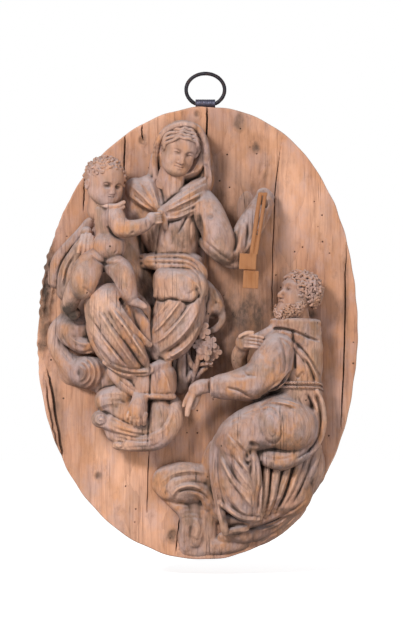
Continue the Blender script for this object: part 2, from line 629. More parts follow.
    # drapery hanging behind, and the loop of the mantle at the right
    limb("-16 42 -14 10, -22 46 -40 14, -24 44 -70 13", 4)
    limb("-8 40 -18 5, -5 46 -40 5, -7 44 -66 4", 2)
    limb("-12 60 -26 2, -13 58 -58 2", 1, 2, cutting=True)
    ball((16, 44, 42), (19, 22, 24), 5, turn=25)
    limb("2 60 70 8, 14 60 58 9, 23 58 44 8, 31 54 34 6", 3)
    limb("4 62 56 7, 11 60 40 8, 11 58 26 7, 7 52 10 6", 3)
    limb("14 60 32 4.5, 24 58 34 4.5, 33 52 27 4.5, 33 50 16 4, 26 48 7 4, 17 48 2 4", 2.5)
    ball((23, 62, 19), (7, 18, 7.5), 2, turn=25, cutting=True)
    # the cloak behind the child and the hand that holds him
    limb("-190 28 70 10, -184 32 96 10, -170 40 116 8, -152 50 136 7, -143 56 150 5", 4)
    limb("-176 40 56 12, -171 46 84 12, -160 54 108 9, -148 62 128 7", 3)
    limb("-160 44 60 12, -152 54 90 11", 4)
    limb("-183 52 104 2, -168 58 119 3, -154 62 132 2", 1, 2.0, cutting=True)
    ball((-147, 72, 134), (8, 9, 9), 3)
    for (tx, tz), (ux, uz) in (((-152, 130), (-157, 108)), ((-147, 131), (-151, 104)), ((-142, 131), (-145, 103)),
                               ((-139, 128), (-139, 108))):
        limb([(tx, 82, tz, 3), ((tx + ux) / 2, 90, (tz + uz) / 2, 3), (ux, 90, uz, 2.6)], 0.8)
    return clay


def womanStrokes():
    s = Strokes((-206, -166), (114, 296))
    draw = s.draw
    # hood
    draw("-58 250, -50 272, -34 284, -10 284, 6 274", 1.6, -1.4)
    draw("-56 214, -57 234, -53 254", 1.6, -1.8)
    draw("16 262, 20 242, 20 216", 1.8, -1.8)
    draw("12 226, 16 212, 14 204", 1.8, -2.0)
    # chest: the left cloth, then the right
    for line, width, height, side in (
            ("-98 188, -84 178, -70 168, -58 162", 4.5, 3.0, 1), ("-90 198, -76 185, -60 169, -52 163", 4.5, 3.4, 1),
            ("-78 206, -68 191, -57 173, -51 165", 4.0, 3.2, 1), ("-66 210, -60 193, -53 174, -49 166", 3.4, 2.8, 1),
            ("-55 206, -52 188, -48 168", 2.2, -3.6, 0),
            ("-86 186, -74 176, -62 166", 1.1, -1.8, 0), ("-72 198, -64 184, -55 170", 1.1, -1.8, 0),
            ("12 199, -8 188, -28 176, -46 165", 4.2, 3.0, 1), ("12 190, -8 179, -28 169, -45 161", 4.2, 3.2, 1),
            ("10 180, -8 169, -27 161, -44 158", 4.2, 3.2, 1), ("4 169, -12 159, -28 154, -43 154", 3.6, 2.8, 1),
            ("8 204, -12 194, -32 182, -45 170", 1.2, -2.2, 0), ("8 184, -10 174, -30 166", 1.0, -1.6, 0),
            ("6 175, -10 165, -26 159", 1.0, -1.4, 0), ("-2 164, -14 156, -28 150, -40 148", 1.6, -3.4, 0),
            ("-12 158, -18 146, -26 132", 1.3, -3.2, 0), ("-6 156, -10 138, -8 120", 1.6, -1.8, 0),
            ("-58 126, -50 116, -40 110", 4, -1.2, 0), ("-20 122, -16 112", 3, -2.0, 0),
            ("-34 140, -32 126, -36 114", 2.0, -1.6, 0), ("-40 146, -44 128, -42 110", 1.3, -1.8, 0),
            ("-70 150, -66 130, -64 112", 2.0, -2.8, 0), ("-80 148, -77 128, -76 108", 1.6, -2.6, 0),
            ("-62 150, -60 130, -58 112", 1.2, -1.8, 0)):
        draw(line, width, height, side)
    # girdle
    draw("-74 100, -36 101, -14 99, 0 91, 6 80, 8 68", 1.0, -2.2)
    draw("-74 94, -34 94, -12 92, 0 84, 5 73, 7 62", 1.0, -2.2)
    draw("-54 87, -26 87, -8 85, 2 75, 5 64, 7 52", 1.2, -3.0)
    draw("-74 106, -36 107, -12 107", 1.0, -2.0)
    # upper sleeve: knot and trim
    away = np.hypot(s.xs[:, None] - 18, (s.zs[None, :] - 155) * 1.25)
    s.height += 1.0 * np.exp(-((away - 5) / 1.2) ** 2) - 1.4 * np.exp(-((away - 3) / 1.0) ** 2)
    draw("8 125, 22 113, 36 102, 50 93", 1.4, -2.8)
    draw("5 117, 20 104, 36 93, 50 86", 1.4, -1.6)
    draw("12 150, 18 130, 30 112", 1.2, -1.6)
    draw("34 150, 40 132, 40 114", 2.4, -1.2)
    # fore-arm sleeve
    for line in ("56 146, 54 126, 49 104", "68 148, 67 126, 62 106", "51 136, 51 120, 47 106",
                 "86 164, 80 142, 69 120", "93 160, 86 142, 78 126", "99 168, 92 150, 84 132"):
        draw(line, 1.6, -3.2)
    # lap and falling folds
    draw("-57 45, -46 43, -36 46, -24 44, -12 40, -4 43, 5 53", 1.4, -3.8, taper=0.08)
    for line, width, height, side in (
            ("-34 46, -46 32, -59 18", 3.5, 2.4, -1), ("-18 48, -36 24, -50 8, -60 0", 5.0, 3.6, -1),
            ("-2 46, -22 18, -42 -4, -60 -15", 6.0, 4.2, -1), ("8 40, -8 10, -30 -14, -52 -26", 6.0, 4.2, -1),
            ("8 18, -8 -10, -28 -27, -46 -37", 5.0, 3.6, -1),
            ("-26 44, -40 26, -56 10", 1.1, -1.6, 0), ("-8 42, -26 18, -46 -2", 1.1, -1.8, 0),
            ("2 34, -14 8, -34 -12", 1.1, -1.8, 0), ("2 6, -14 -14, -34 -28", 1.1, -1.6, 0),
            ("-60 42, -60.5 12, -60 -12", 1.3, -4.0, 0), ("-80 40, -68 24, -61 12", 1.5, -3.4, 1),
            ("-86 48, -74 30, -63 18", 1.2, -1.8, 0),
            ("-40 -28, -30 -34, -22 -28", 1.4, -2.2, 0), ("-52 -30, -40 -38", 1.4, -2.4, 0),
            ("-30 80, -14 76, -2 66, 6 56", 3.0, 1.2, 1), ("-16 50, -6 56, 4 60", 1.2, -1.4, 0)):
        draw(line, width, height, side)
    # shin folds
    for line, width, height, side in (
            ("-144 26, -130 0, -112 -24, -96 -46", 4.4, 2.4, 1), ("-134 36, -117 8, -100 -18, -80 -46", 5.0, 2.6, 1),
            ("-144 -2, -130 -17, -116 -34, -110 -44", 3.0, 2.4, 1), ("-118 40, -100 12, -84 -12, -64 -40", 5.0, 2.6, 1),
            ("-100 18, -86 -4, -70 -28, -62 -38", 3.0, 2.2, 1),
            ("-139 20, -122 -6, -104 -28, -90 -46", 1.3, -3.0, 0), ("-127 34, -110 8, -92 -16, -72 -44", 1.3, -3.0, 0),
            ("-106 20, -90 -4, -74 -28", 1.2, -2.4, 0), ("-92 10, -78 -10, -64 -28", 1.2, -2.0, 0),
            ("-138 -4, -130 -20, -117 -38", 2.0, -6.0, 0), ("-85 2, -86 -10, -86 -20", 1.1, -2.2, 0),
            ("-112 36, -100 22, -84 2, -68 -14", 1.4, -2.4, 0), ("-144 44, -136 34, -126 28", 1.6, -1.4, 0),
            ("-146 26, -134 12, -122 0", 1.2, -1.8, 0),
            ("-147 6, -136 -6, -126 -18", 1.1, -1.4, 0), ("-120 56, -108 40, -98 28", 1.2, -1.2, 0)):
        draw(line, width, height, side)
    # hem and underskirt
    draw("-122 -42, -104 -50, -84 -54, -64 -53", 1.5, -4.4, taper=0.12)
    draw("-118 -36, -100 -44, -82 -47, -66 -45", 1.2, -2.2)
    draw("-62 -42, -62 -62, -63 -84", 1.1, -3.6, taper=0.1)
    draw("-104 -60, -92 -70, -84 -76", 1.3, -2.2)
    draw("-98 -56, -86 -66, -76 -80", 1.2, -1.6)
    draw("-48 -48, -40 -62, -36 -82", 3.4, 2.2, 1)
    draw("-80 -60, -84 -72, -80 -80", 1.5, -1.6)
    draw("-56 -52, -52 -66, -54 -80", 1.2, -1.4)
    draw("-86 -78, -62 -79, -44 -80, -30 -80", 1.1, -1.8)
    draw("-63 -84, -64 -110, -66 -152", 1.0, -3.6, taper=0.1)
    # crack down the figure
    draw("-49 146, -52 126, -55 104, -54 88", 0.9, -2.8, taper=0.1)
    # cloak behind the child
    draw("-188 74, -182 94, -168 112, -152 128", 1.4, -2.8)
    draw("-178 60, -173 86, -162 106", 1.6, -3.8)
    draw("-166 60, -161 84, -152 104", 1.4, -3.0)
    draw("-184 64, -179 88, -166 110", 1.0, -1.4)
    # drapery behind, loop of the mantle
    draw("-26 -28, -28 -48, -26 -66", 1.4, -2.4)
    draw("-20 -30, -20 -48, -18 -64", 1.1, -1.6)
    draw("-2 64, 4 44, 5 24", 1.5, -3.0)
    draw("14 66, 16 50, 12 34, 12 20", 1.3, -2.6)
    draw("22 58, 26 46, 24 36", 1.5, -2.4)
    draw("18 54, 22 44, 32 38", 1.2, -1.8)
    s.weather(31)
    return s


def carveClouds(clay):
    ball, limb = clay.ball, clay.limb
    # upper cloud; its rim sinks into the ground at the left
    ball((-163, 34, 4), (27, 26, 24), 6)
    limb("-180 28 18 7, -190 28 2 8, -189 30 -16 9, -180 32 -32 9.5, -168 34 -46 10", 6)
    limb("-168 46 -8 10, -154 52 -16 9.5, -140 52 -17 8", 4)
    limb("-162 62 -28 1.6, -150 66 -25.5 2.4, -138 66 -28 1.8", 1, 2.6, cutting=True)
    # curled lobe: terraces round one centre, open to the left
    ball((-146, 36, -52), (27, 24, 23), 5)
    ball((-168, 24, -50), (20, 14, 22), 8)
    ball((-159, 62, -53), (4.5, 9, 9), 3, cutting=True)
    # lower cloud
    ball((-84, 50, -112), (46, 32, 38), 6)
    ball((-112, 50, -90), (25, 26, 20), 6)
    limb("-120 58 -84 7, -106 66 -80 8, -92 68 -82 8", 6)
    ball((-128, 60, -114), (13, 16, 12), 3)
    limb("-122 64 -117 9, -106 70 -123 9, -88 74 -128 8.5, -70 75 -130 8", 3)
    limb("-34 60 -88 8, -31 67 -103 13, -38 72 -122 15.5, -54 74 -138 15.5, -76 72 -146 10, -98 68 -149 6.5", 4)
    limb("-50 74 -96 10, -50 76 -112 12, -58 76 -126 10", 6)
    limb("-112 58 -134 9, -92 64 -138 10, -70 66 -140 10", 5)
    ball((-104, 64, -149), (9, 11, 6.5), 2)
    # between the two clouds
    limb("-128 30 -66 16, -112 34 -64 18, -100 40 -60 18", 6)
    limb("-122 62 -58 5, -118 60 -64 4", 2, 1.6, cutting=True)
    # the foot comes out over the cloud
    ball((-78, 108, -102), (18, 24, 22), 3, cutting=True)
    limb("-61 106 -88 4, -59 104 -100 4.6, -63 100 -113 3", 1, 2.0, cutting=True)
    limb("-74 80 -76 9.5, -76 88 -88 9.5, -79 93 -99 10, -80 93 -106 9.5", 3)
    limb("-84 91 -98 7, -89 90 -106 5", 3)
    limb("-74 92 -98 8, -72 92 -108 6", 3)
    for toeX, toeTop, toeLow, toeSize in ((-91.5, -105, -113, 2.7), (-87, -107, -117.5, 2.8), (-82, -108, -120, 2.9),
                                          (-76.8, -108, -120.5, 3.0), (-70.3, -107, -119, 4.0)):
        limb([(toeX + 1.5, 96, toeTop, toeSize), (toeX, 97.5, 0.5 * (toeTop + toeLow), 0.95 * toeSize),
              (toeX - 0.5, 94, toeLow, 0.9 * toeSize)], 0.5)


def cloudStrokes(s):
    draw = s.draw
    s.gouge = 1.0
    draw("-178 12, -179 -4, -169 -20, -157 -27, -147 -25, -141 -23, -134 -27", 1.5, -4.0)
    draw("-186 2, -184 -14, -174 -32, -164 -42", 1.6, -1.8)
    draw("-172 4, -164 -8, -150 -13, -138 -12", 3.4, 2.2, -1)
    draw("-170 -6, -160 -16, -146 -19", 1.2, -1.8)
    draw("-178 22, -164 14, -148 12", 1.4, -1.4)
    for n, (height, wide) in enumerate(((2.6, 3.4), (3.0, 4.0), (3.2, 4.4), (2.6, 4.4))):
        reach = 9 + 6.6 * n
        turn = np.radians(np.linspace(84, -84, 9))
        draw([(-159 + reach * math.cos(t), -53 + 1.02 * reach * math.sin(t)) for t in turn], wide, height, 1, taper=0.2)
        draw([(-159 + (reach + 3.6) * math.cos(t), -53 + (1.02 * reach + 3.6) * math.sin(t)) for t in turn], 0.9, -1.0,
             taper=0.3)
    for drop in range(3):
        draw([(-138, -88 - 7 * drop), (-122, -81 - 6.5 * drop), (-104, -80 - 6.5 * drop), (-94, -84 - 6.5 * drop)],
             3.0, 2.0, 1)
        draw([(-134, -91 - 7 * drop), (-118, -85 - 6.5 * drop), (-102, -85 - 6.5 * drop)], 1.0, -1.2)
    draw("-138 -104, -120 -105, -108 -111, -96 -117, -84 -123", 1.5, -3.4)
    draw("-124 -110, -108 -117, -92 -123, -76 -126", 1.1, -1.4)
    draw("-116 -122, -102 -128, -84 -133, -68 -134, -54 -128", 1.6, -3.2)
    draw("-112 -138, -92 -141, -72 -143, -52 -140", 1.4, -2.6)
    draw("-108 -132, -88 -137, -70 -138, -56 -134", 1.2, -1.8)
    draw("-100 -153, -80 -151, -60 -150, -44 -142", 1.2, -1.4)
    for cx, cz, size, wide in ((-128, -115, 11, 1.1), (-103, -149, 5.8, 1.35)):
        turn = np.linspace(0, 3.8 * math.pi, 26)
        draw([(cx + wide * size * (1 - 0.078 * t) * math.cos(t + 0.6),
               cz + size * (1 - 0.078 * t) * math.sin(t + 0.6)) for t in turn], 1.1, -3.0, taper=0.05)
    draw("-32 -92, -34 -112, -44 -128, -60 -136", 3.6, 2.2, -1)
    draw("-40 -94, -40 -112, -50 -126", 1.2, -1.6)
    draw("-50 -92, -49 -110, -56 -122", 1.2, -1.4)
    for n in range(4):
        draw([(-88 + 4.7 * n, -100), (-89.5 + 5 * n, -111)], 0.8, -1.4)


sprig = {"blossoms": [(8, 68, 4, 12.5), (18, 69, -13, 11.5), (3, 66, -17, 9.5), (24, 66, -24, 10.5), (11, 71, -26, 12),
                      (17, 65, -36, 8.5)],
         "Petals": 5, "Petal length": 0.46, "Petal width": 0.42, "Cup": 1.7, "Bud": 0.27, "Seed": 11}


def carveSprig(clay):
    limb = clay.limb
    limb("4 30 0 13, 10 30 -20 14, 2 30 -46 10", 6)
    limb("-7 48 -68 3, -3 58 -52 3, 1 64 -36 3.2, 4 64 -14 3.4, 6 62 4 3", 1.5)
    limb("-5 48 -64 3, 4 54 -52 3.6, 12 54 -46 3", 1.5)
    limb("-10 42 -70 4, -3 48 -48 5, 2 48 -34 5", 2)
    clay.ball((-10, 52, -58), (4, 8, 10), 2, turn=-20)
    for cx, out, cz, _ in sprig["blossoms"]:
        limb([(5, 46, cz - 6, 4), (cx, out - 3, cz, 3.6)], 2)
    for leaf in (((-2, 58, -50, 2.2), (-8, 62, -40, 3.4), (-12, 60, -28, 1.6)),
                 ((3, 60, -42, 2.2), (12, 62, -40, 3.2), (20, 58, -44, 1.4))):
        limb(list(leaf), 0.8, 0.7)


# the child

child = {"voxel": 0.8, "triangles": 96000, "stains": [(-166, 29, 15, 13, 1.6), (-122, 88, 8, 6, 0.6),
                                                      (-158, 54, 5, 22, 0.35)]}


def carveChild():
    clay = Clay((-186, 34, 18), (-42, 134, 190), child["voxel"] * coarse)
    ball, limb = clay.ball, clay.limb
    # trunk
    ball((-116, 82, 148), (20, 22, 26), 6)
    ball((-117, 86, 115), (22.5, 26, 22), 7)
    limb("-118 80 182 12, -116 80 166 15", 6)
    ball((-127, 82, 162), (11, 15, 12), 5)
    limb("-118 60 150 18, -118 60 110 20", 8)
    # arm that reaches for the brooch
    limb("-110 96 161 11, -105 104 148 11.5, -99 110 139 11.5", 3)
    limb("-100 111 138 11, -86 113 139 10.2, -74 111 142 8.6, -67 108 146 7", 3)
    ball((-60, 105, 152), (8, 7, 9), 3)
    for finger in range(4):
        start = (-57 + finger * 0.6, 158 - finger * 3.6)
        limb([(start[0], 107, start[1], 2.4), (start[0] + 6, 105, start[1] + 0.6, 2.2),
              (start[0] + 8, 99, start[1] + 1, 1.9)], 0.8)
    # hips and legs
    limb("-132 88 98 15, -143 98 88 17.5, -149 104 72 17, -151 102 58 13", 4)
    limb("-155 98 68 13, -163 90 54 11.5, -168 82 42 10, -170 76 34 8.5", 3)
    limb("-113 90 92 13, -102 106 85 14.5, -96 114 74 13, -91 114 58 10.5, -87 111 47 7.8", 4)
    limb("-88 110 44 6.5, -80 113 41 5.6, -70 112 36 4.2", 2)
    ball((-90, 108, 45), (6, 7, 6), 2)
    # ragged stump of the lost foot
    limb("-164 72 27 9, -170 70 30 8", 2)
    limb("-179 70 30 5, -172 78 19 5, -160 82 19 4", 1, cutting=True)
    # collar of cloth under the chin
    limb("-130 92 172 3, -118 101 169 3.4, -106 103 169 3.4, -97 97 174 2.8", 1.2)
    limb("-113 102 164 2.4, -104 103 164 2.8, -97 98 168 2.2", 0.8)
    # where the body is held by the cloak
    limb("-134 60 100 14, -130 50 130 14", 6)
    s = Strokes((-186, 18), (-42, 190))
    s.draw("-118 142, -112 133, -102 126, -92 126", 1.5, -3.0)
    s.draw("-140 106, -132 97, -120 92, -108 93, -98 99", 1.6, -3.6)
    s.draw("-108.5 108, -107.5 107", 2.0, -3.4, taper=0.6)
    s.draw("-119 142, -117 140", 1.6, -2.4, taper=0.6)
    s.draw("-86 135, -84 132", 1.6, -3.4, taper=0.6)
    s.draw("-93 150, -91 141, -92 132", 1.2, -1.6)
    s.draw("-67 152, -65 140", 1.2, -2.6)
    s.draw("-128 150, -124 138, -126 126", 4.0, -0.9)
    s.draw("-118 88, -110 76, -104 62", 2.0, -1.6)
    s.draw("-152 62, -144 56, -138 50", 1.6, -1.6)
    s.draw("-160 74, -164 60, -170 46", 2.2, -1.0)
    s.draw("-130 134, -116 130", 2.6, -0.7)
    clay.relief(s, above=84)
    return clay


# the kneeling man and the rock

man = {
    "voxel": 0.85, "triangles": 196000, "floor": 22.0,
    "pleats": [(84, -246, 91, -170), (91, -244, 107, -170), (99, -241, 123, -170), (109, -238, 138, -166),
               (120, -234, 151, -162), (131, -228, 161, -152)],
    "gaps": [(1.6, -5.0), (1.3, -2.6), (2.0, -5.4), (1.2, -2.2), (1.8, -3.6), (1.4, -2.8)],
    "stains": [(84, -152, 12, 8, 0.7), (96, -80, 18, 10, 0.6), (64, -36, 14, 14, 0.3), (-5, -258, 24, 40, 0.3),
               (48, -250, 20, 9, 0.5), (110, -205, 12, 26, 0.25), (62, -268, 30, 12, 0.45), (2, -214, 22, 10, 0.35),
               (13, -98, 12, 12, 0.5), (150, -200, 14, 30, 0.4), (152, -195, 5, 6, 0.7), (146, -207, 4, 5, 0.6),
               (119, -235, 12, 3, 0.6), (99, -259, 12, 3, 0.7)],
}


def carveMan():
    clay = Clay((-66, man["floor"], -306), (178, 126, 44), man["voxel"] * coarse)
    ball, limb = clay.ball, clay.limb
    # wood left behind
    limb("130 20 10 26, 132 20 -60 34, 126 20 -120 38", 8)
    limb("100 20 -140 44, 70 20 -180 40, 70 20 -220 34", 8)
    # trunk and back
    ball((128, 50, -34), (40, 40, 54), 8, turn=4, square=2.3)
    ball((130, 54, -78), (38, 36, 30), 8)
    limb("131 66 30 12, 128 64 6 17", 5)
    # collar, level at its top and falling to the back, with the cape below it
    limb("101 72 16 4, 114 86 16 5, 130 91 15.5 5.2, 147 86 14.5 5.2, 160 70 14 5", 2)
    limb("101 72 12 4, 114 85 10 5, 130 90 7 5.2, 147 85 3 5.2, 161 68 1 5", 2)
    limb("110 83 13 5, 130 90 11.5 5.6, 147 86 9 5.8, 160 70 7.5 5.4", 2)
    limb("118 82 5 4, 132 88 1 5, 148 83 -3 5, 161 67 -6 5", 3)
    for gapX, gapOut, wide in ((107.5, 84, 6), (152, 78, 6.5)):
        ball((gapX, gapOut, 24.5), (wide, 13, 4.4), 1, cutting=True)
    limb("106 72 6 8, 128 78 -2 12, 150 72 -12 12, 158 60 -22 9", 5)
    limb("104 74 4 8, 90 76 -3 7, 76 76 -10 7", 4)
    # upper arm, elbow and fore-arm in their wide sleeve
    limb("116 78 -10 18, 106 86 -24 22, 99 91 -40 25, 92 93 -52 25", 5)
    limb("98 93 -50 22, 78 94 -62 22, 58 92 -67.5 19, 40 88 -70 15.5, 28 86 -70.5 13.5", 5)
    limb("32 84 -80 4.5, 60 87 -83 5.5, 78 86 -82 6, 94 84 -73 5", 2.5)
    # the sleeve ends in a straight edge, the wrist comes out of it
    ball((3, 86, -70), (14, 30, 24), 1, square=8, cutting=True)
    limb("19.5 92 -60 2.4, 19.5 98 -68 2.6, 20 96 -78 2.6, 21 88 -84 2.4", 1)
    # wrist and open hand
    limb("30 86 -69 8.6, 18 87 -69 8.2, 6 88 -70.5 9.2, -3 86 -75 8.4", 2, 0.85)
    limb("-5 87 -80 4.5, -9 87 -91 4, -12 85 -100 3.5, -13 83 -108 3.1", 1)
    limb("-9 83 -80 4.2, -14 81 -89 3.6, -17 79 -96 3", 1)
    limb("2 82 -80 4.6, -2 80 -91 3.8, -6 78 -99 3.2", 1)
    # hand laid on the breast, its sleeve behind
    limb("60 76 -20 9, 56 68 -32 9, 58 62 -46 8", 4)
    ball((63, 84, -12), (12, 12, 11.5), 3)
    for finger in range(4):
        z0 = -2.6 - finger * 4.6
        limb([(64, 94, z0, 2.9), (76, 98, z0 - 0.6, 2.8), (87 - 1.4 * finger, 95, z0 - 2.6, 2.4)], 0.6)
    limb("58 92 -4 3.4, 66 97 0.5 3, 74 97 1.5 2.4", 0.8)
    # deep hollow under the arm
    limb("136 96 -46 2, 122 98 -55 3.5, 106 98 -65 5, 90 94 -82 6", 2, 1.8, cutting=True)
    # end of the cord that falls behind
    limb("158 78 -76 4, 165 72 -94 4.6, 168 68 -118 4.6, 163 66 -140 4.6, 150 67 -158 4.6, 132 70 -171 4.6, "
         "112 72 -179 4", 2.5)
    limb("152 80 -80 3, 158 76 -98 3, 160 74 -118 3, 154 74 -140 3, 140 76 -156 3", 2)
    # hip and thigh
    ball((122, 66, -124), (41, 43, 37), 6)
    limb("116 70 -112 33, 88 80 -122 29, 64 82 -132 25, 46 78 -146 22", 8)
    limb("112 84 -94 13, 88 86 -103 12.5, 60 82 -116 12, 40 74 -132 12", 5)
    limb("104 96 -92 5, 120 98 -94 5, 136 90 -98 4", 3)
    limb("36 68 -142 12, 34 70 -160 12", 5)
    # flap of the upper cloth below the thigh
    limb("86 80 -163 8, 102 83 -168 9.5, 120 79 -167 9.5, 138 71 -158 8", 6)
    limb("72 110 -146 4, 80 112 -152 6.5, 92 110 -156 4.5, 110 106 -157.5 3, 130 102 -157 1.6", 1.5, 1.8, cutting=True)
    # front of the gown, falling to its hem at the knee
    ball((52, 56, -186), (31, 36, 54), 8, turn=-6, square=2.4)
    limb("40 70 -150 18, 46 70 -190 24, 58 68 -224 18", 6)
    limb("33 68 -134 5, 25 71 -146 5, 22 72 -164 5.2, 24 73 -192 6, 29 70 -224 5.5, 35 65 -252 4.6, 38 60 -266 4", 3)
    limb("36 84 -152 6, 40 88 -184 7, 52 86 -214 7, 66 80 -238 6", 6)
    limb("54 92 -150 7, 58 93 -176 8, 66 90 -204 8, 73 82 -234 6", 6)
    limb("73 92 -160 6, 77 90 -182 7, 79 86 -206 7, 79 79 -238 6", 4)
    limb("32 76 -224 4, 48 82 -239 4.5, 64 80 -246 4.5, 80 76 -246 4", 2.5)
    limb("34 84 -236 3, 42 82 -248 7, 52 80 -252 5.5, 66 76 -254 3", 2, 2.4, cutting=True)
    limb("24 44 -150 8, 17 40 -170 9, 15 38 -190 9, 18 38 -212 8, 26 40 -228 7", 5)
    limb("40 46 -250 7, 56 48 -250 7, 74 52 -248 8", 5)
    limb("37 54 -266 4, 50 56 -263 4, 66 56 -260 4", 3)
    # long pleats behind, sinking into the ground at the right
    ball((110, 36, -206), (46, 28, 40), 8, turn=-25)
    limb("112 44 -186 18, 136 38 -180 18, 150 32 -184 14", 8)
    limb("160 34 -160 8, 160 30 -184 9, 150 28 -208 9", 6)
    for number, (lowX, lowZ, highX, highZ) in enumerate(man["pleats"]):
        out = 71 - 4.6 * number
        limb([(lowX, out - 12, lowZ, 3.6), (0.66 * lowX + 0.34 * highX + 3, out, 0.66 * lowZ + 0.34 * highZ, 5.6),
              (0.3 * lowX + 0.7 * highX + 2, out + 1, 0.3 * lowZ + 0.7 * highZ, 6.4), (highX, out - 5, highZ, 6)], 2.6)
    # hem at the ground
    limb("56 52 -258 4.4, 80 51 -252 5, 104 46 -243 5, 128 38 -229 5, 146 30 -214 4.4", 2.5)
    limb("44 40 -266 7, 66 40 -270 8, 88 36 -263 8, 112 29 -247 9, 134 23 -229 8", 6)
    # rock: dome in layers, stem and ledge
    ball((-18, 30, -202), (39, 21, 27), 5, square=2.4)
    limb("-55 26 -206 6, -46 34 -190 8, -22 40 -182 8, 2 40 -185 8, 18 37 -194 9", 6)
    limb("-40 36 -214 7, -22 44 -206 8, 2 44 -208 8, 15 41 -219 8, 16 38 -232 6", 5)
    ball((-3, 16, -250), (16, 20, 48), 7, square=2.8)
    limb("-40 28 -219 6, -28 31 -228 8, -17 31 -240 8, -14 30 -256 7, -17 27 -272 8, -14 24 -288 9", 4)
    limb("-4 33 -246 5, 1 34 -262 7, -2 31 -280 7", 4)
    limb("-22 18 -291 8, 0 22 -293 8, 22 20 -292 8", 5)
    limb("13 28 -232 9, 16 28 -256 9, 18 25 -284 9", 6)
    limb("18 34 -172 10, 16 36 -196 10, 23 38 -222 9, 28 34 -244 9", 4)
    limb("14 24 -286 11, 40 28 -284 10, 64 26 -280 8", 6)
    limb("34 34 -272 6, 48 38 -272 6, 62 36 -272 7, 75 32 -271 6", 3)
    limb("80 21 -277 9, 110 19 -260 9, 140 17 -234 9", 6)
    ball((14, 16, -98), (14, 12, 13), 8)
    return clay


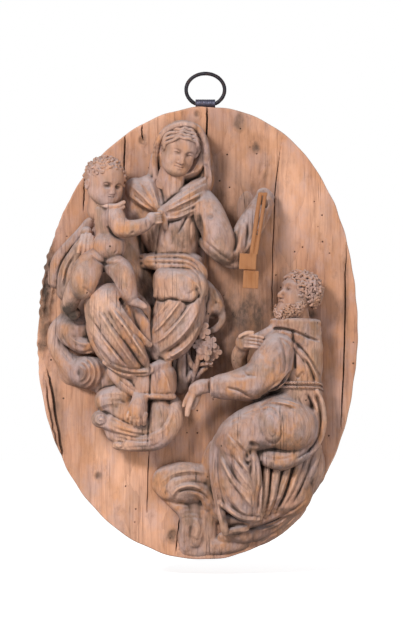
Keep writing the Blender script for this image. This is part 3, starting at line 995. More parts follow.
def manStrokes():
    s = Strokes((-66, -306), (178, 44), gouge=1.6)
    draw = s.draw
    # collar and cape
    draw("100 7, 118 6, 136 0, 150 -6, 164 -10", 1.4, -3.4, taper=0.08)
    draw("121 20, 120 8", 1.0, -2.0)
    draw("106 2, 120 -3, 134 -15, 148 -31, 160 -51, 170 -72", 1.6, -3.8, taper=0.1)
    draw("112 1, 126 -7, 140 -22, 153 -42, 165 -68", 1.3, 1.6, taper=0.12)
    draw("110 -6, 124 -16, 138 -32, 148 -48", 1.1, -1.6)
    draw("127 6, 128 -14, 131 -48", 1.3, -3.0, taper=0.1)
    draw("141 -32, 149 -43, 154 -55, 158 -68", 1.7, -4.2)
    draw("134 -24, 142 -38, 148 -58, 150 -68", 1.1, -1.6)
    draw("146 -79, 151 -90, 158 -104", 1.5, -3.4)
    draw("134 -80, 138 -92, 146 -104", 1.1, -1.4)
    draw("158 -80, 163 -96, 164 -118, 159 -140, 148 -156, 130 -168", 1.4, -3.6, taper=0.1)
    draw("106 -2, 113 -14, 117 -32, 116 -48, 108 -58", 1.5, -2.2)
    draw("92 -10, 88 -28, 92 -46", 3.4, -1.2)
    draw("130 -52, 134 -58, 140 -52, 144 -60", 1.4, -1.8)
    # cuff and sleeve
    draw("18 -57, 17 -70, 21 -85", 1.3, -3.2, taper=0.1)
    draw("28 -56, 27 -70, 30 -84", 1.0, -1.8, taper=0.1)
    draw("38 -71, 54 -75, 66 -82, 78 -88", 1.4, -3.0)
    draw("46 -56, 60 -58, 78 -50", 2.4, -1.0)
    draw("60 -46, 66 -54, 80 -56", 1.2, -1.6)
    draw("84 -82, 96 -72, 108 -62", 1.2, -1.4)
    # breast hand
    for n in range(3):
        draw([(68, -5 - 4.6 * n), (86, -7.4 - 4.6 * n)], 0.8, -1.6)
    draw("64 -2, 58 -10, 60 -20", 1.2, -1.4)
    draw("54 -22, 52 -34, 56 -46", 1.4, -1.8)
    # hip, top of thigh
    draw("80 -99, 96 -93, 114 -95, 132 -100", 1.4, -2.6)
    draw("86 -94, 104 -88, 122 -91, 138 -98", 1.4, -2.2)
    draw("92 -90, 108 -84, 124 -86", 1.1, -1.4)
    draw("56 -110, 76 -103, 96 -99", 1.5, -1.8)
    draw("40 -122, 58 -112, 74 -108", 1.1, -1.4)
    for wide, tall, deep in ((14, 24, -1.7), (7, 15, -1.1)):
        turn = np.linspace(0.3, 6.1, 18)
        draw([(98 + wide * math.cos(t) - 0.12 * tall * math.sin(t), -122 + tall * math.sin(t)) for t in turn], 1.0,
             deep, taper=0.06)
    draw("76 -112, 78 -126, 76 -142", 1.2, -1.4)
    draw("84 -162, 98 -165, 114 -166, 132 -162", 1.2, -1.8)
    # front of the gown
    for line, width, height, side in (
            ("30 -134, 24 -152, 23 -190, 28 -226, 37 -266", 3.2, 2.6, -1),
            ("28 -146, 28 -186, 34 -220, 42 -244", 1.3, -2.6, 0),
            ("33 -138, 46 -158, 60 -174, 74 -190", 5.4, 1.8, 1), ("50 -134, 60 -150, 70 -162, 78 -172", 4.4, 1.5, 1),
            ("29 -162, 42 -188, 58 -211, 75 -232", 5.6, 2.0, 1), ("29 -190, 38 -214, 54 -233, 72 -244", 4.8, 2.0, 1),
            ("32 -148, 48 -174, 62 -193, 76 -211", 5.0, 1.6, 1), ("40 -134, 56 -156, 74 -176", 4.4, 1.4, 1),
            ("30 -170, 44 -196, 64 -220", 1.2, -1.8, 0), ("31 -199, 42 -221, 58 -238", 1.2, -1.8, 0),
            ("36 -142, 52 -168, 72 -194", 1.2, -1.6, 0), ("30 -154, 44 -180, 60 -202, 74 -218", 1.1, -1.4, 0),
            ("40 -130, 54 -146, 66 -158", 1.1, -1.4, 0),
            ("70 -152, 72 -172, 70 -190", 1.3, -2.6, 0), ("78 -166, 80 -192, 78 -226", 1.2, -2.4, 0),
            ("86 -168, 86 -192, 82 -216, 81 -240", 1.6, -5.0, 0), ("62 -160, 66 -172, 72 -168", 1.2, -2.6, 0),
            ("50 -158, 56 -172, 64 -180", 1.2, -1.8, 0), ("66 -196, 72 -212, 74 -228", 1.1, -1.6, 0),
            ("33 -230, 48 -243, 64 -250, 80 -250", 1.5, -3.0, 0), ("21 -150, 19 -176, 21 -206, 28 -238", 1.1, -1.6, 0)):
        draw(line, width, height, side)
    # gaps between the pleats, and a finer line on each
    for near, far, (width, height) in zip(man["pleats"][:-1], man["pleats"][1:], man["gaps"]):
        (lowX, lowZ), (highX, highZ) = (((near[k] + far[k]) / 2, (near[k + 1] + far[k + 1]) / 2) for k in (0, 2))
        draw([(lowX, lowZ), (0.66 * lowX + 0.34 * highX + 3, 0.66 * lowZ + 0.34 * highZ),
              (0.3 * lowX + 0.7 * highX + 2, 0.3 * lowZ + 0.7 * highZ), (highX, highZ)], width, height, taper=0.25)
    for lowX, lowZ, highX, highZ in man["pleats"]:
        draw([(lowX + 1, lowZ + 6), (highX + 1, highZ - 4)], 0.9, -1.1)
    # hem
    draw("40 -258, 54 -255, 66 -255", 1.3, -2.4)
    draw("60 -262, 84 -257, 108 -247, 132 -233, 148 -220", 1.3, -2.6)
    draw("46 -268, 60 -266", 1.2, -1.6)
    for n in range(4):
        draw([(70 + 8 * n, -262 - 3 * n), (100 + 8 * n, -256 + 1 * n), (130 + 5 * n, -240 + 3 * n)], 1.4,
             (-1.6, 1.2)[n % 2])
    # rock
    for half, top in ((40, -184), (30, -194), (22, -203)):
        draw([(-14 - half, top - 20), (-14 - 0.5 * half, top - 5), (-8, top), (-8 + 0.7 * half, top - 5)], 4.2, 1.5, 1)
        draw([(-10 - half, top - 26), (-12 - 0.5 * half, top - 9), (-6, top - 4), (-6 + 0.6 * half, top - 9)], 0.9,
             -0.8)
    draw("-44 -222, -30 -228, -16 -226", 1.6, -1.6)
    draw("-28 -212, -10 -209, 6 -213, 18 -224", 1.8, -3.0)
    for n in range(4):
        draw([(-24, -231 - 6 * n), (-8, -228 - 6 * n), (8, -230 - 6 * n), (14, -236 - 5 * n)], 1.2, -1.0)
    draw("-14 -262, -8 -256, 0 -262, -4 -270, -12 -268", 2.0, 0.9)
    draw("13 -244, 13 -268, 12 -294", 1.2, -3.0, taper=0.1)
    for path in ("-21 -248, -17 -262, -21 -280, -16 -294", "-10 -242, -6 -254, -10 -268, -5 -290",
                 "3 -246, 6 -262, 1 -278", "-24 -276, -12 -271, 0 -277, 10 -273"):
        draw(path, 1.3, -1.9)
    s.weather(33)
    return s


# heads, carved upright and then turned into place

def headPlace(centre, size, turn, nod, tilt):
    # turn to the viewer's right, nod forward and tilt the crown to the viewer's left, in degrees
    a, b, c = (math.radians(v) for v in (turn, nod, tilt))
    spin = np.array([[math.cos(a), math.sin(a), 0], [-math.sin(a), math.cos(a), 0], [0, 0, 1]])
    dip = np.array([[1, 0, 0], [0, math.cos(b), math.sin(b)], [0, -math.sin(b), math.cos(b)]])
    roll = np.array([[math.cos(c), 0, -math.sin(c)], [0, 1, 0], [math.sin(c), 0, math.cos(c)]])
    place = np.eye(4)
    place[:3, :3] = (roll @ spin @ dip) * size
    place[:3, 3] = centre
    return place


def capSpot(cap, way, lift=0.0):
    # the point of an ellipsoid that lies in this direction, and the way out of it there
    centre, radii = (np.array(v, float) for v in cap)
    way = np.array(way, float)
    spot = way / math.sqrt(np.sum((way / radii) ** 2))
    out = spot / radii ** 2
    out /= np.linalg.norm(out)
    return centre + spot + out * lift, out


def clayPoint(clay, centre, way, lift):
    # where a line from the centre leaves the wood, and the way it runs
    way = np.array(way, float) / np.linalg.norm(way)
    reach = np.arange(6, 40, 0.25)
    spots = np.array(centre) + reach[:, None] * way
    cells = np.clip(((spots - np.array(clay.low)) / clay.step).round().astype(int), 0, np.array(clay.field.shape) - 1)
    inside = clay.field[tuple(cells.T)] < 0
    return np.array(centre) + (reach[inside].max() + lift) * way, way


def curl(clay, place, size, turn, wind=1.25):
    # a short lock that winds round once
    spot, out = place
    side = np.cross(out, (0.3, 0.2, 0.9))
    side /= np.linalg.norm(side)
    other = np.cross(out, side)
    stations = []
    for n in range(5):
        angle = turn + wind * n
        reach = size * (0.70 - 0.11 * n)
        at = spot + reach * (math.cos(angle) * side + math.sin(angle) * other) + out * 0.14 * size * n
        stations.append((*at, size * 0.31))
    clay.limb(stations, 0.3)


def carveHead(look):
    clay = Clay((-36, -36, -50), (36, 38, 40), look["voxel"] * coarse)
    ball, limb = clay.ball, clay.limb
    eye, tip, mouth, chin = look["eye"], look["tip"], look["mouth"], look["chin"]
    wide, nose, plump = look["wide"], look["nose"], look["plump"]
    cap = look["cap"]
    # skull, face, jaw, chin and cheeks
    ball(*cap)
    ball((0, 3, -5), (wide, 16.5, 21.5 + (chin + 24.5) * -1), 8)
    limb([(-look["jaw"] * wide, -1, -11, 5), (-0.5 * wide, 8, chin + 4.5, 4.6), (0, 11.5, chin + 2.5, 5),
          (0.5 * wide, 8, chin + 4.5, 4.6), (look["jaw"] * wide, -1, -11, 5)], 7)
    ball((0, 13, chin + 2.2), (5.2, 5.2, 4.6), 4)
    for side in (-1, 1):
        ball((9.0 * side, 10.5, tip - 0.5), (6.5 + plump, 6.2 + 0.8 * plump, 6.5 + plump), 6)
    # brow, eye hollows, eyes and lids
    brow = look["brow"]
    limb([(-13.5, 11, eye + 5, brow), (-8, 15.2, eye + 7, brow), (-3, 16.2, eye + 5.6, brow)], 4)
    limb([(13.5, 11, eye + 5, brow), (8, 15.2, eye + 7, brow), (3, 16.2, eye + 5.6, brow)], 4)
    for side in (-1, 1):
        ball((8.2 * side, 20.8, eye + 0.4), (5.6, 4.6, 3.5), 3, cutting=True)
    for side in (-1, 1):
        ball((8.1 * side, 12.0, eye), (4.9, 4.5, 4.2), 0.8)
        limb([(3.8 * side, 15.4, eye - 0.4, 0.7), (5.6 * side, 16.7, eye + 1.5, 0.95),
              (8.6 * side, 17.0, eye + 2.0, 1.0),
              (11.4 * side, 15.3, eye + 0.9, 0.9), (13.0 * side, 13.6, eye - 0.6, 0.6)], 0.6)
        limb([(4.0 * side, 15.2, eye - 1.0, 0.6), (6.4 * side, 16.2, eye - 2.4, 0.75),
              (9.2 * side, 16.1, eye - 2.5, 0.75),
              (12.2 * side, 14.2, eye - 1.2, 0.6)], 0.7)
    # nose
    bridge = eye + 5.5
    limb([(0, 15.4, bridge, 1.6), (0, 17.0, eye, 1.7), (0, 18.6 + 0.45 * nose, 0.5 * (eye + tip), 1.9),
          (0, 18.4 + nose, tip + 0.8, look["bulb"]), (0, 18.2 + nose, tip - 0.8, look["bulb"] - 0.2)], 2.0)
    for side in (-1, 1):
        ball((2.7 * side, 17.6 + 0.6 * nose, tip - 1.2), (1.8, 2.3, 1.6), 1.2)
    # mouth
    lip = 16.6 + look["lips"]
    for side in (-1, 1):
        limb([(0, lip + 1.2, mouth + 0.9, 1.25), (2.4 * side, lip + 0.9, mouth + 1.3, 1.25),
              (5.4 * side, lip - 1.6, mouth + 0.1, 0.7)], 1.0)
    limb([(-4.8, lip - 1.2, mouth - 0.8, 0.9), (-2, lip + 0.4, mouth - 1.9, 1.6), (2, lip + 0.4, mouth - 1.9, 1.6),
          (4.8, lip - 1.2, mouth - 0.8, 0.9)], 1.0)
    limb([(-5.8, lip - 0.4, mouth - 0.1, 0.4), (-2.4, lip + 2.0, mouth - 0.1, 0.5), (0, lip + 2.3, mouth - 0.35, 0.5),
          (2.4, lip + 2.0, mouth - 0.1, 0.5), (5.8, lip - 0.4, mouth - 0.1, 0.4)], 0.4, cutting=True)
    # ears
    if look["ears"]:
        for side in (-1, 1):
            ball((0.99 * cap[1][0] * side, -2, eye - 2.5), (2.6, 4.4, 6.4), 1.0, lean=8)
            ball((1.08 * cap[1][0] * side, -0.8, eye - 1.8), (1.7, 2.2, 3.8), 0.8, cutting=True)
    # neck
    limb(look["neck"], 3)
    rng = np.random.default_rng(look["seed"])
    if look["hair"] == "waves":
        # parted hair, drawn back in waves
        path = smoothed([(0.6, 18.0, 21.5), (7, 17.0, 20.5), (13, 12.5, 16), (17.5, 7, 8), (19.5, 2.5, 0),
                         (20.0, -2, -9), (17, -7, -18)], 6)
        for side in (-1, 1):
            for n in range(6):
                stations = []
                for m, p in enumerate(path):
                    share = m / (len(path) - 1)
                    swing = 20 * share + 1.5 * n
                    way = (side * p[0], p[1] - 4.6 * n + 5 + 1.7 * math.sin(swing) * min(1, 5 * share),
                           p[2] + 2.2 * n * (1 - 1.2 * share) - 8)
                    spot, _ = capSpot(cap, way, 1.3 + 0.9 * math.cos(swing))
                    stations.append((*spot, 2.1))
                for a, b in zip(stations[:-1], stations[1:]):
                    limb([a, b], 0.15)
    if look["hair"] == "curls":
        for n in range(look["locks"]):
            height = 1 - 1.62 * (n + 0.5) / look["locks"]
            turn = n * goldenTurn
            flat = math.sqrt(max(0, 1 - height * height))
            way = np.array((flat * math.cos(turn), flat * math.sin(turn), height))
            byEar = look["ears"] and abs(way[0]) > 0.86 and -0.45 < way[2] < 0.12
            if way @ (0, 0.93, -0.37) > look["hairline"] or byEar:
                continue
            curl(clay, capSpot(cap, way * cap[1], look["lift"]), look["lock"] * rng.uniform(*look["vary"]),
                 rng.uniform(0, fullTurn), look["wind"])
    if look["beard"]:
        ball((0, 13.5, chin - 2.0), (6.5, 6, 6.0), 4)
        middle = (0, 2, -10)
        ways = []
        for n in range(220):
            height = 0.25 - 1.22 * (n + 0.5) / 220
            turn = n * goldenTurn
            flat = math.sqrt(max(0, 1 - height * height))
            way = np.array((flat * math.cos(turn), flat * math.sin(turn), height))
            jawLine = -0.10 - 0.55 * way[1]   # the beard starts lower towards the front
            bareFace = way[1] > 0.45 and way[2] > -0.62 and abs(way[0]) < 0.42
            if -0.30 < way[1] and -0.93 < way[2] < jawLine + 0.12 and not bareFace:
                ways.append(way)
        spots = [clayPoint(clay, middle, way, 0.5) for way in ways]
        for spot in spots:
            curl(clay, spot, 3.3 * rng.uniform(0.8, 1.25), rng.uniform(0, fullTurn))
        for side in (-1, 1):
            limb([(0.7 * side, lip + 2.4, mouth + 2.9, 1.0), (4.2 * side, lip + 1.0, mouth + 2.2, 1.4),
                  (7.6 * side, lip - 2.2, mouth - 1.4, 1.3)], 0.6)
            limb([(1.2 * side, 17.5, chin - 1, 1.6), (3.0 * side, 18.0, chin - 6, 1.4),
                  (2.2 * side, 16.5, chin - 10, 1.0)], 0.6)
    return clay


heads = {
    "woman_head": {"voxel": 0.5, "triangles": 76000, "hair": "waves", "seed": 3, "grime": 0.75, "plump": 1.3,
                   "ears": False, "beard": False,
                   "eye": 1.0, "tip": -8.0, "mouth": -14.4, "chin": -22.5, "wide": 15.6, "nose": 3.4, "lips": 1.7,
                   "brow": 1.2, "jaw": 0.72, "bulb": 1.9,
                   "cap": ((0, -4, 8), (20.8, 24.4, 21.0)),
                   "neck": [(0, -3, -16, 11), (0, -6, -36, 11.5), (0, -8, -48, 12)],
                   "centre": (-24, 80, 243), "size": 1.13, "turn": 20, "nod": 14, "tilt": -15},
    "child_head": {"voxel": 0.5, "triangles": 76000, "hair": "curls", "seed": 4, "grime": 0.8, "plump": 2.2,
                   "ears": True, "beard": False,
                   "eye": -2.5, "tip": -9.5, "mouth": -15.0, "chin": -22.0, "wide": 17.0, "nose": 2.4, "lips": 1.2,
                   "brow": 1.3, "jaw": 0.84, "bulb": 1.9,
                   "cap": ((0, -3, 6), (22.6, 25.4, 23.2)), "locks": 210, "lock": 4.9, "wind": 0.5,
                   "vary": (0.7, 1.25), "lift": -1.9, "hairline": 0.58,
                   "neck": [(0, -4, -16, 12), (0, -6, -30, 12), (0, -6, -36, 11)],
                   "centre": (-122, 86, 201), "size": 1.12, "turn": 32, "nod": 6, "tilt": -6},
    "man_head": {"voxel": 0.5, "triangles": 86000, "hair": "curls", "seed": 6, "grime": 0.9, "plump": 0.0,
                 "ears": False, "beard": True,
                 "eye": 2.5, "tip": -7.5, "mouth": -14.8, "chin": -24.5, "wide": 15.8, "nose": 4.0, "lips": 0.6,
                 "brow": 2.0, "jaw": 0.86, "bulb": 2.1,
                 "cap": ((0, -4, 8), (21.0, 24.2, 21.6)), "locks": 230, "lock": 4.6, "wind": 1.1, "vary": (0.65, 1.3),
                 "lift": 0.3, "hairline": 0.62,
                 "neck": [(0, -5, -14, 12), (0, -12, -26, 12), (0, -17, -34, 11)],
                 "centre": (133, 74, 50), "size": 1.1, "turn": -62, "nod": -20, "tilt": 0},
}


# slip of lighter wood, ring and strap

slip = {"voxel": 0.5, "triangles": 20000}


def carveSlip():
    clay = Clay((48, 76, 52), (102, 110, 196), slip["voxel"] * coarse)
    limb = clay.limb
    limb("84 84 185 2.8, 80 90 160 2.9, 76 98 130 3, 72.5 102 106 3.2", 0.6, 0.75)
    limb("90.5 84 185 2.4, 87 90 160 2.4, 82 98 130 2.5, 78 102 106 2.8", 0.6, 0.85)
    x, d, z = clay.grid((slice(None),) * 3)

    def plate(left, right, low, high, back, front, lean):
        cx, cz = (left + right) / 2, (low + high) / 2
        c, s = math.cos(math.radians(lean)), math.sin(math.radians(lean))
        u = (x - cx) * c + (z - cz) * s
        v = -(x - cx) * s + (z - cz) * c
        a = np.abs(u) - (right - left) / 2 + 0.6
        b = np.abs(d - (back + front) / 2) - (front - back) / 2 + 0.6
        e = np.abs(v) - (high - low) / 2 + 0.6
        far = np.sqrt(np.maximum(a, 0) ** 2 + np.maximum(b, 0) ** 2 + np.maximum(e, 0) ** 2)
        near = np.minimum(np.maximum(np.maximum(a, b), e), 0)
        clay.field = np.minimum(clay.field, far + near - 0.6).astype(np.float32)

    plate(56, 78.5, 85, 106, 100, 104.4, -3)
    plate(61, 81.5, 60, 83.5, 99, 103, -3)
    plate(62, 78, 78, 90, 98.8, 101.5, -3)
    plate(81.5, 93.5, 183, 187.5, 82.4, 86, 0)
    return clay


ringIron = {"voxel": 0.45, "triangles": 20000, "wire": 2.45, "centre": (11.2, 5.8, 327.5), "halfWidth": 25.9,
            "halfHeight": 21.9, "floor": 309.1}


def carveRing():
    clay = Clay((-20, 0, 302), (43, 12, 355), ringIron["voxel"] * coarse)
    start = math.asin((ringIron["floor"] - ringIron["centre"][2]) / ringIron["halfHeight"])
    turns = np.linspace(start, math.pi - start, 40)
    rng = np.random.default_rng(8)
    middle, out, height = ringIron["centre"]
    points = [(middle + ringIron["halfWidth"] * math.cos(t), out, height + ringIron["halfHeight"] * math.sin(t),
               ringIron["wire"] * rng.uniform(0.95, 1.04)) for t in turns]
    for a, b in zip(points[:-1], points[1:]):
        clay.limb([a, b], 0.6)
    clay.limb([points[0][:3] + (2.4,), points[-1][:3] + (2.4,)], 0.4)
    return clay


strapIron = {"voxel": 0.45, "triangles": 16000, "middle": 11.2, "halfWidth": 13.3, "eyeOut": 5.8, "eyeHeight": 309.1,
             "roll": 5.45, "bore": 2.9, "thick": 1.3, "low": 254.2, "nails": (288, 266)}


def carveStrap():
    clay = Clay((-6, -2, 250), (28, 14, 318), strapIron["voxel"] * coarse)
    x, d, z = clay.grid((slice(None),) * 3)
    worn = 0.18 * np.sin(x * 0.9 + 1) * np.sin(z * 0.55) + 0.12 * np.sin(x * 2.1 + z)
    side = np.abs(x - strapIron["middle"]) - strapIron["halfWidth"]
    far = np.hypot(d - strapIron["eyeOut"], z - strapIron["eyeHeight"])
    roll = far - strapIron["roll"] + worn * 0.6
    plate = np.maximum(np.maximum(np.abs(d - 1.65) - strapIron["thick"], strapIron["low"] - z), z - 309)
    body = np.maximum(np.minimum(roll, plate), side)
    bore = strapIron["bore"] - far
    # the end of the strap, rolled down onto itself, shows as a seam at the front
    seam = 0.5 - np.hypot(d - 11.2, z - 305.4)
    clay.field = np.maximum(np.maximum(body, bore), seam).astype(np.float32)
    # holes and countersinks for the nails
    for height in strapIron["nails"]:
        away = np.hypot(x - strapIron["middle"], z - height)
        sink = np.maximum(2.2 - away, 4.3 - away - np.maximum(d - 0.7, 0))
        clay.field = np.maximum(clay.field, np.where(d < 3.5, sink, -9)).astype(np.float32)
    return clay


# nodes: short ways to add them to a tree

class Wiring:
    def __init__(self, tree):
        self.tree = tree

    def node(self, kind, **settings):
        item = self.tree.nodes.new(kind)
        for key, value in settings.items():
            setattr(item, key, value)
        return item

    def link(self, source, target):
        self.tree.links.new(source, target)

    def plug(self, item, values):
        # sockets by name or number, each set to a value or linked to another socket
        for key, value in values.items():
            if value is None:
                continue
            if isinstance(value, bpy.types.NodeSocket):
                self.link(value, item.inputs[key])
            else:
                item.inputs[key].default_value = value

    def made(self, kind, values, **settings):
        item = self.node(kind, **settings)
        self.plug(item, values)
        return item.outputs[0]

    def math(self, operation, a, b=None, clamp=False):
        return self.made("ShaderNodeMath", {0: a, 1: b}, operation=operation, use_clamp=clamp)

    def mix(self, factor, first, second):
        item = self.node("ShaderNodeMix", data_type="RGBA", clamp_factor=True)
        first, second = ((*v, 1) if isinstance(v, tuple) else v for v in (first, second))
        self.plug(item, {0: factor, 6: first, 7: second})
        return item.outputs[2]

    def noise(self, coords, scale, stretch=(1, 1, 1), detail=3.0, rough=0.5, move=(0, 0, 0)):
        place = self.made("ShaderNodeMapping", {"Scale": stretch, "Location": move, "Vector": coords})
        return self.made("ShaderNodeTexNoise", {"Scale": scale, "Detail": detail, "Roughness": rough, "Vector": place})

    def span(self, value, low, high, to=(0.0, 1.0), smooth=False):
        return self.made("ShaderNodeMapRange", {0: value, 1: low, 2: high, 3: to[0], 4: to[1]},
                         interpolation_type="SMOOTHSTEP" if smooth else "LINEAR", clamp=True)

    def bump(self, height, strength, distance, shader):
        bumped = self.made("ShaderNodeBump", {"Strength": strength, "Distance": distance, "Height": height})
        self.link(bumped, shader.inputs["Normal"])


# the waist cord and the blossoms are grown by geometry nodes

class Growing(Wiring):
    # a node tree with named inputs, each with its kind and a first value
    def __init__(self, name, inputs):
        super().__init__(bpy.data.node_groups.new(name, "GeometryNodeTree"))
        self.tree.is_modifier = True
        sides = self.tree.interface
        for way in ("INPUT", "OUTPUT"):
            sides.new_socket("Geometry", in_out=way, socket_type="NodeSocketGeometry")
        self.keys = {}
        for label, (kind, value) in inputs.items():
            socket = sides.new_socket(label, in_out="INPUT", socket_type="NodeSocket" + kind)
            socket.default_value = value
            self.keys[label] = socket.identifier
        self.given = self.node("NodeGroupInput").outputs
        self.result = self.node("NodeGroupOutput")

    def joined(self, *parts):
        whole = self.node("GeometryNodeJoinGeometry")
        for part in parts:
            self.link(part, whole.inputs[0])
        return whole.outputs[0]

    def grow(self, item, geometry, material, settings):
        # ends the tree and gives the grown shape as a plain mesh, with the modifier taken off again
        whole = self.made("GeometryNodeRealizeInstances", {"Geometry": geometry})
        dressed = self.made("GeometryNodeSetMaterial", {"Geometry": whole, "Material": material})
        self.link(dressed, self.result.inputs[0])
        step = item.modifiers.new("grown", "NODES")
        step.node_group = self.tree
        for label, key in self.keys.items():
            step[key] = settings[label]
        done = applied(item)
        for attribute in ("hollow", "crease", "stain"):
            if attribute not in done.attributes:
                done.attributes.new(attribute, "FLOAT", "POINT")
        return shaded(item, "")


def plainObject(name, spots, edges=()):
    # points of x, out, z in mm as a mesh in the frame of the object
    mesh = bpy.data.meshes.new(name)
    mesh.from_pydata([(0.001 * x, -0.001 * out, 0.001 * z) for x, out, z in spots], edges, [])
    item = bpy.data.objects.new(name, mesh)
    bpy.context.scene.collection.objects.link(item)
    return item


waistCord = {
    "Strand radius": 0.00105, "Lay": 0.0010, "Twist": 520.0, "Step": 0.0011, "strands": 3, "sides": 9,
    "runs": ["102 84.5 -65, 114 92 -64.5, 126 94.5 -65, 140 92.5 -65.5, 154 85 -66, 162 76 -67, 166 64 -69, 165 52 -72",
             "103 85 -70.5, 116 92 -70.5, 128 94 -71, 141 91.5 -71.5, 154 84 -72, 162 75 -73, 167 62 -75, 166 50 -78"],
}


def growCord(material):
    g = Growing("twisted cord", {key: ("Float", waistCord[key]) for key in ("Strand radius", "Lay", "Twist", "Step")})
    line = g.made("GeometryNodeMeshToCurve", {"Mesh": g.given["Geometry"]})
    even = g.made("GeometryNodeResampleCurve", {"Curve": line, "Length": g.given["Step"]}, mode="LENGTH")
    turning = g.math("MULTIPLY", g.node("GeometryNodeSplineParameter").outputs["Length"], g.given["Twist"])
    tilted = g.made("GeometryNodeSetCurveTilt", {"Curve": even, "Tilt": turning})
    strands = []
    for n in range(waistCord["strands"]):
        ring = g.made("GeometryNodeCurvePrimitiveCircle",
                      {"Resolution": waistCord["sides"], "Radius": g.given["Strand radius"]})
        off = g.made("ShaderNodeCombineXYZ", {"X": g.given["Lay"]})
        spun = g.made("ShaderNodeVectorRotate", {"Vector": off, "Angle": thirdTurn * n})
        strands.append(g.made("GeometryNodeTransform", {"Geometry": ring, "Translation": spun}))
    rope = g.made("GeometryNodeCurveToMesh", {"Curve": tilted, "Profile Curve": g.joined(*strands), "Fill Caps": True})
    spots, edges = [], []
    for run in waistCord["runs"]:
        line = smoothed(run, 8)
        edges += [(len(spots) + n, len(spots) + n + 1) for n in range(len(line) - 1)]
        spots += list(line)
    return g.grow(plainObject("waist_cord", spots, edges), rope, material, waistCord)


def growBlossoms(material):
    # each blossom is a ring of petals round a bud; a point of the mesh holds its place and size
    g = Growing("blossoms", {key: ("Int" if key in ("Petals", "Seed") else "Float", sprig[key])
                             for key in ("Petals", "Petal length", "Petal width", "Cup", "Bud", "Seed")})
    given = g.given
    # a petal: a ball drawn out, narrow at its foot, with its tip and sides turned up
    ball = g.made("GeometryNodeMeshIcoSphere", {"Radius": 1.0, "Subdivisions": 3})
    axes = g.node("ShaderNodeSeparateXYZ")
    g.link(g.made("GeometryNodeInputPosition", {}), axes.inputs[0])
    x, y, z = axes.outputs
    length = g.math("MULTIPLY", x, given["Petal length"])
    width = g.math("MULTIPLY", g.math("MULTIPLY", y, given["Petal width"]), g.span(x, -1.0, 0.7, (0.45, 1.0)))
    bowl = g.math("MULTIPLY", g.math("ADD", g.math("MULTIPLY", y, y), g.math("MULTIPLY", x, x)), given["Cup"])
    height = g.math("ADD", g.math("MULTIPLY", z, 0.26), g.math("MULTIPLY", bowl, 0.16))
    spot = g.made("ShaderNodeCombineXYZ", {0: length, 1: width, 2: height})
    petal = g.made("GeometryNodeSetPosition", {"Geometry": ball, "Position": spot})
    out = g.made("ShaderNodeCombineXYZ", {"X": given["Petal length"]})
    petal = g.made("GeometryNodeTransform", {"Geometry": petal, "Translation": out})
    # the petals round the bud
    ring = g.made("GeometryNodeMeshCircle", {"Vertices": given["Petals"], "Radius": 0.02})
    share = g.math("DIVIDE", g.made("GeometryNodeInputIndex", {}), given["Petals"])
    spin = g.made("ShaderNodeCombineXYZ", {"Z": g.math("MULTIPLY", share, 2 * math.pi)})
    petals = g.made("GeometryNodeInstanceOnPoints", {"Points": ring, "Instance": petal, "Rotation": spin})
    bud = g.made("GeometryNodeMeshIcoSphere", {"Radius": given["Bud"], "Subdivisions": 3})
    raised = g.made("GeometryNodeTransform", {"Geometry": bud, "Translation": (0, 0, 0.12)})
    size = g.made("GeometryNodeInputNamedAttribute", {"Name": "size"}, data_type="FLOAT")
    tip = g.made("FunctionNodeRandomValue", {0: (1.0, -0.6, -0.8), 1: (1.9, 0.6, 0.8), "Seed": given["Seed"]},
                 data_type="FLOAT_VECTOR")
    blossoms = g.made("GeometryNodeInstanceOnPoints",
                      {"Points": given["Geometry"], "Instance": g.joined(petals, raised),
                                                       "Rotation": tip, "Scale": size})
    item = plainObject("blossoms", [row[:3] for row in sprig["blossoms"]])
    sizes = [0.001 * row[3] for row in sprig["blossoms"]]
    item.data.attributes.new("size", "FLOAT", "POINT").data.foreach_set("value", sizes)
    return g.grow(item, blossoms, material, sprig)


# materials

def nodeMaterial(name, settings):
    # a new material with its shader's own sockets set, and the wiring of its tree
    material = bpy.data.materials.new(name)
    material.use_nodes = True
    material.node_tree.nodes.clear()
    w = Wiring(material.node_tree)
    shader = w.node("ShaderNodeBsdfPrincipled")
    w.plug(shader, settings)
    w.link(shader.outputs["BSDF"], w.node("ShaderNodeOutputMaterial").inputs["Surface"])
    return material, w, shader


woodLook = {
    "ground": {"pale": (0.68, 0.37, 0.24), "tan": (0.44, 0.215, 0.13), "late": (0.12, 0.048, 0.028),
               "grey": (0.36, 0.245, 0.20),
               "dust": 0.15, "dirt": 0.75, "haze": 0.35, "rings": 0.22, "checks": 0.35, "lit": 0.3, "fibre": 0.62,
               "ochre": 0.4, "bloom": 0.3, "olive": 0.12},
    "figures": {"pale": (0.57, 0.335, 0.235), "tan": (0.33, 0.17, 0.115), "late": (0.08, 0.042, 0.031),
                "grey": (0.27, 0.20, 0.19),
                "dust": 0.75, "dirt": 1.0, "haze": 0.6, "rings": 0.26, "checks": 0.8, "lit": 0.55, "fibre": 0.8,
                "ochre": 0.7, "bloom": 0.5, "olive": 0.4},
    "heads": {"pale": (0.54, 0.32, 0.23), "tan": (0.36, 0.19, 0.128), "late": (0.11, 0.058, 0.042),
              "grey": (0.30, 0.22, 0.205),
              "dust": 0.6, "dirt": 1.0, "haze": 0.5, "rings": 0.10, "checks": 0.0, "lit": 0.08, "fibre": 0.5,
              "ochre": 0.4, "bloom": 0.4, "olive": 0.3},
    "slip": {"pale": (0.31, 0.13, 0.047), "tan": (0.235, 0.087, 0.027), "late": (0.19, 0.065, 0.025),
             "grey": (0.36, 0.22, 0.13),
             "dust": 0.1, "dirt": 0.6, "haze": 0.1, "rings": 0.3, "checks": 0.0, "lit": 0.4, "fibre": 0.8,
             "ochre": 0.0, "bloom": 0.0, "olive": 0.0},
}
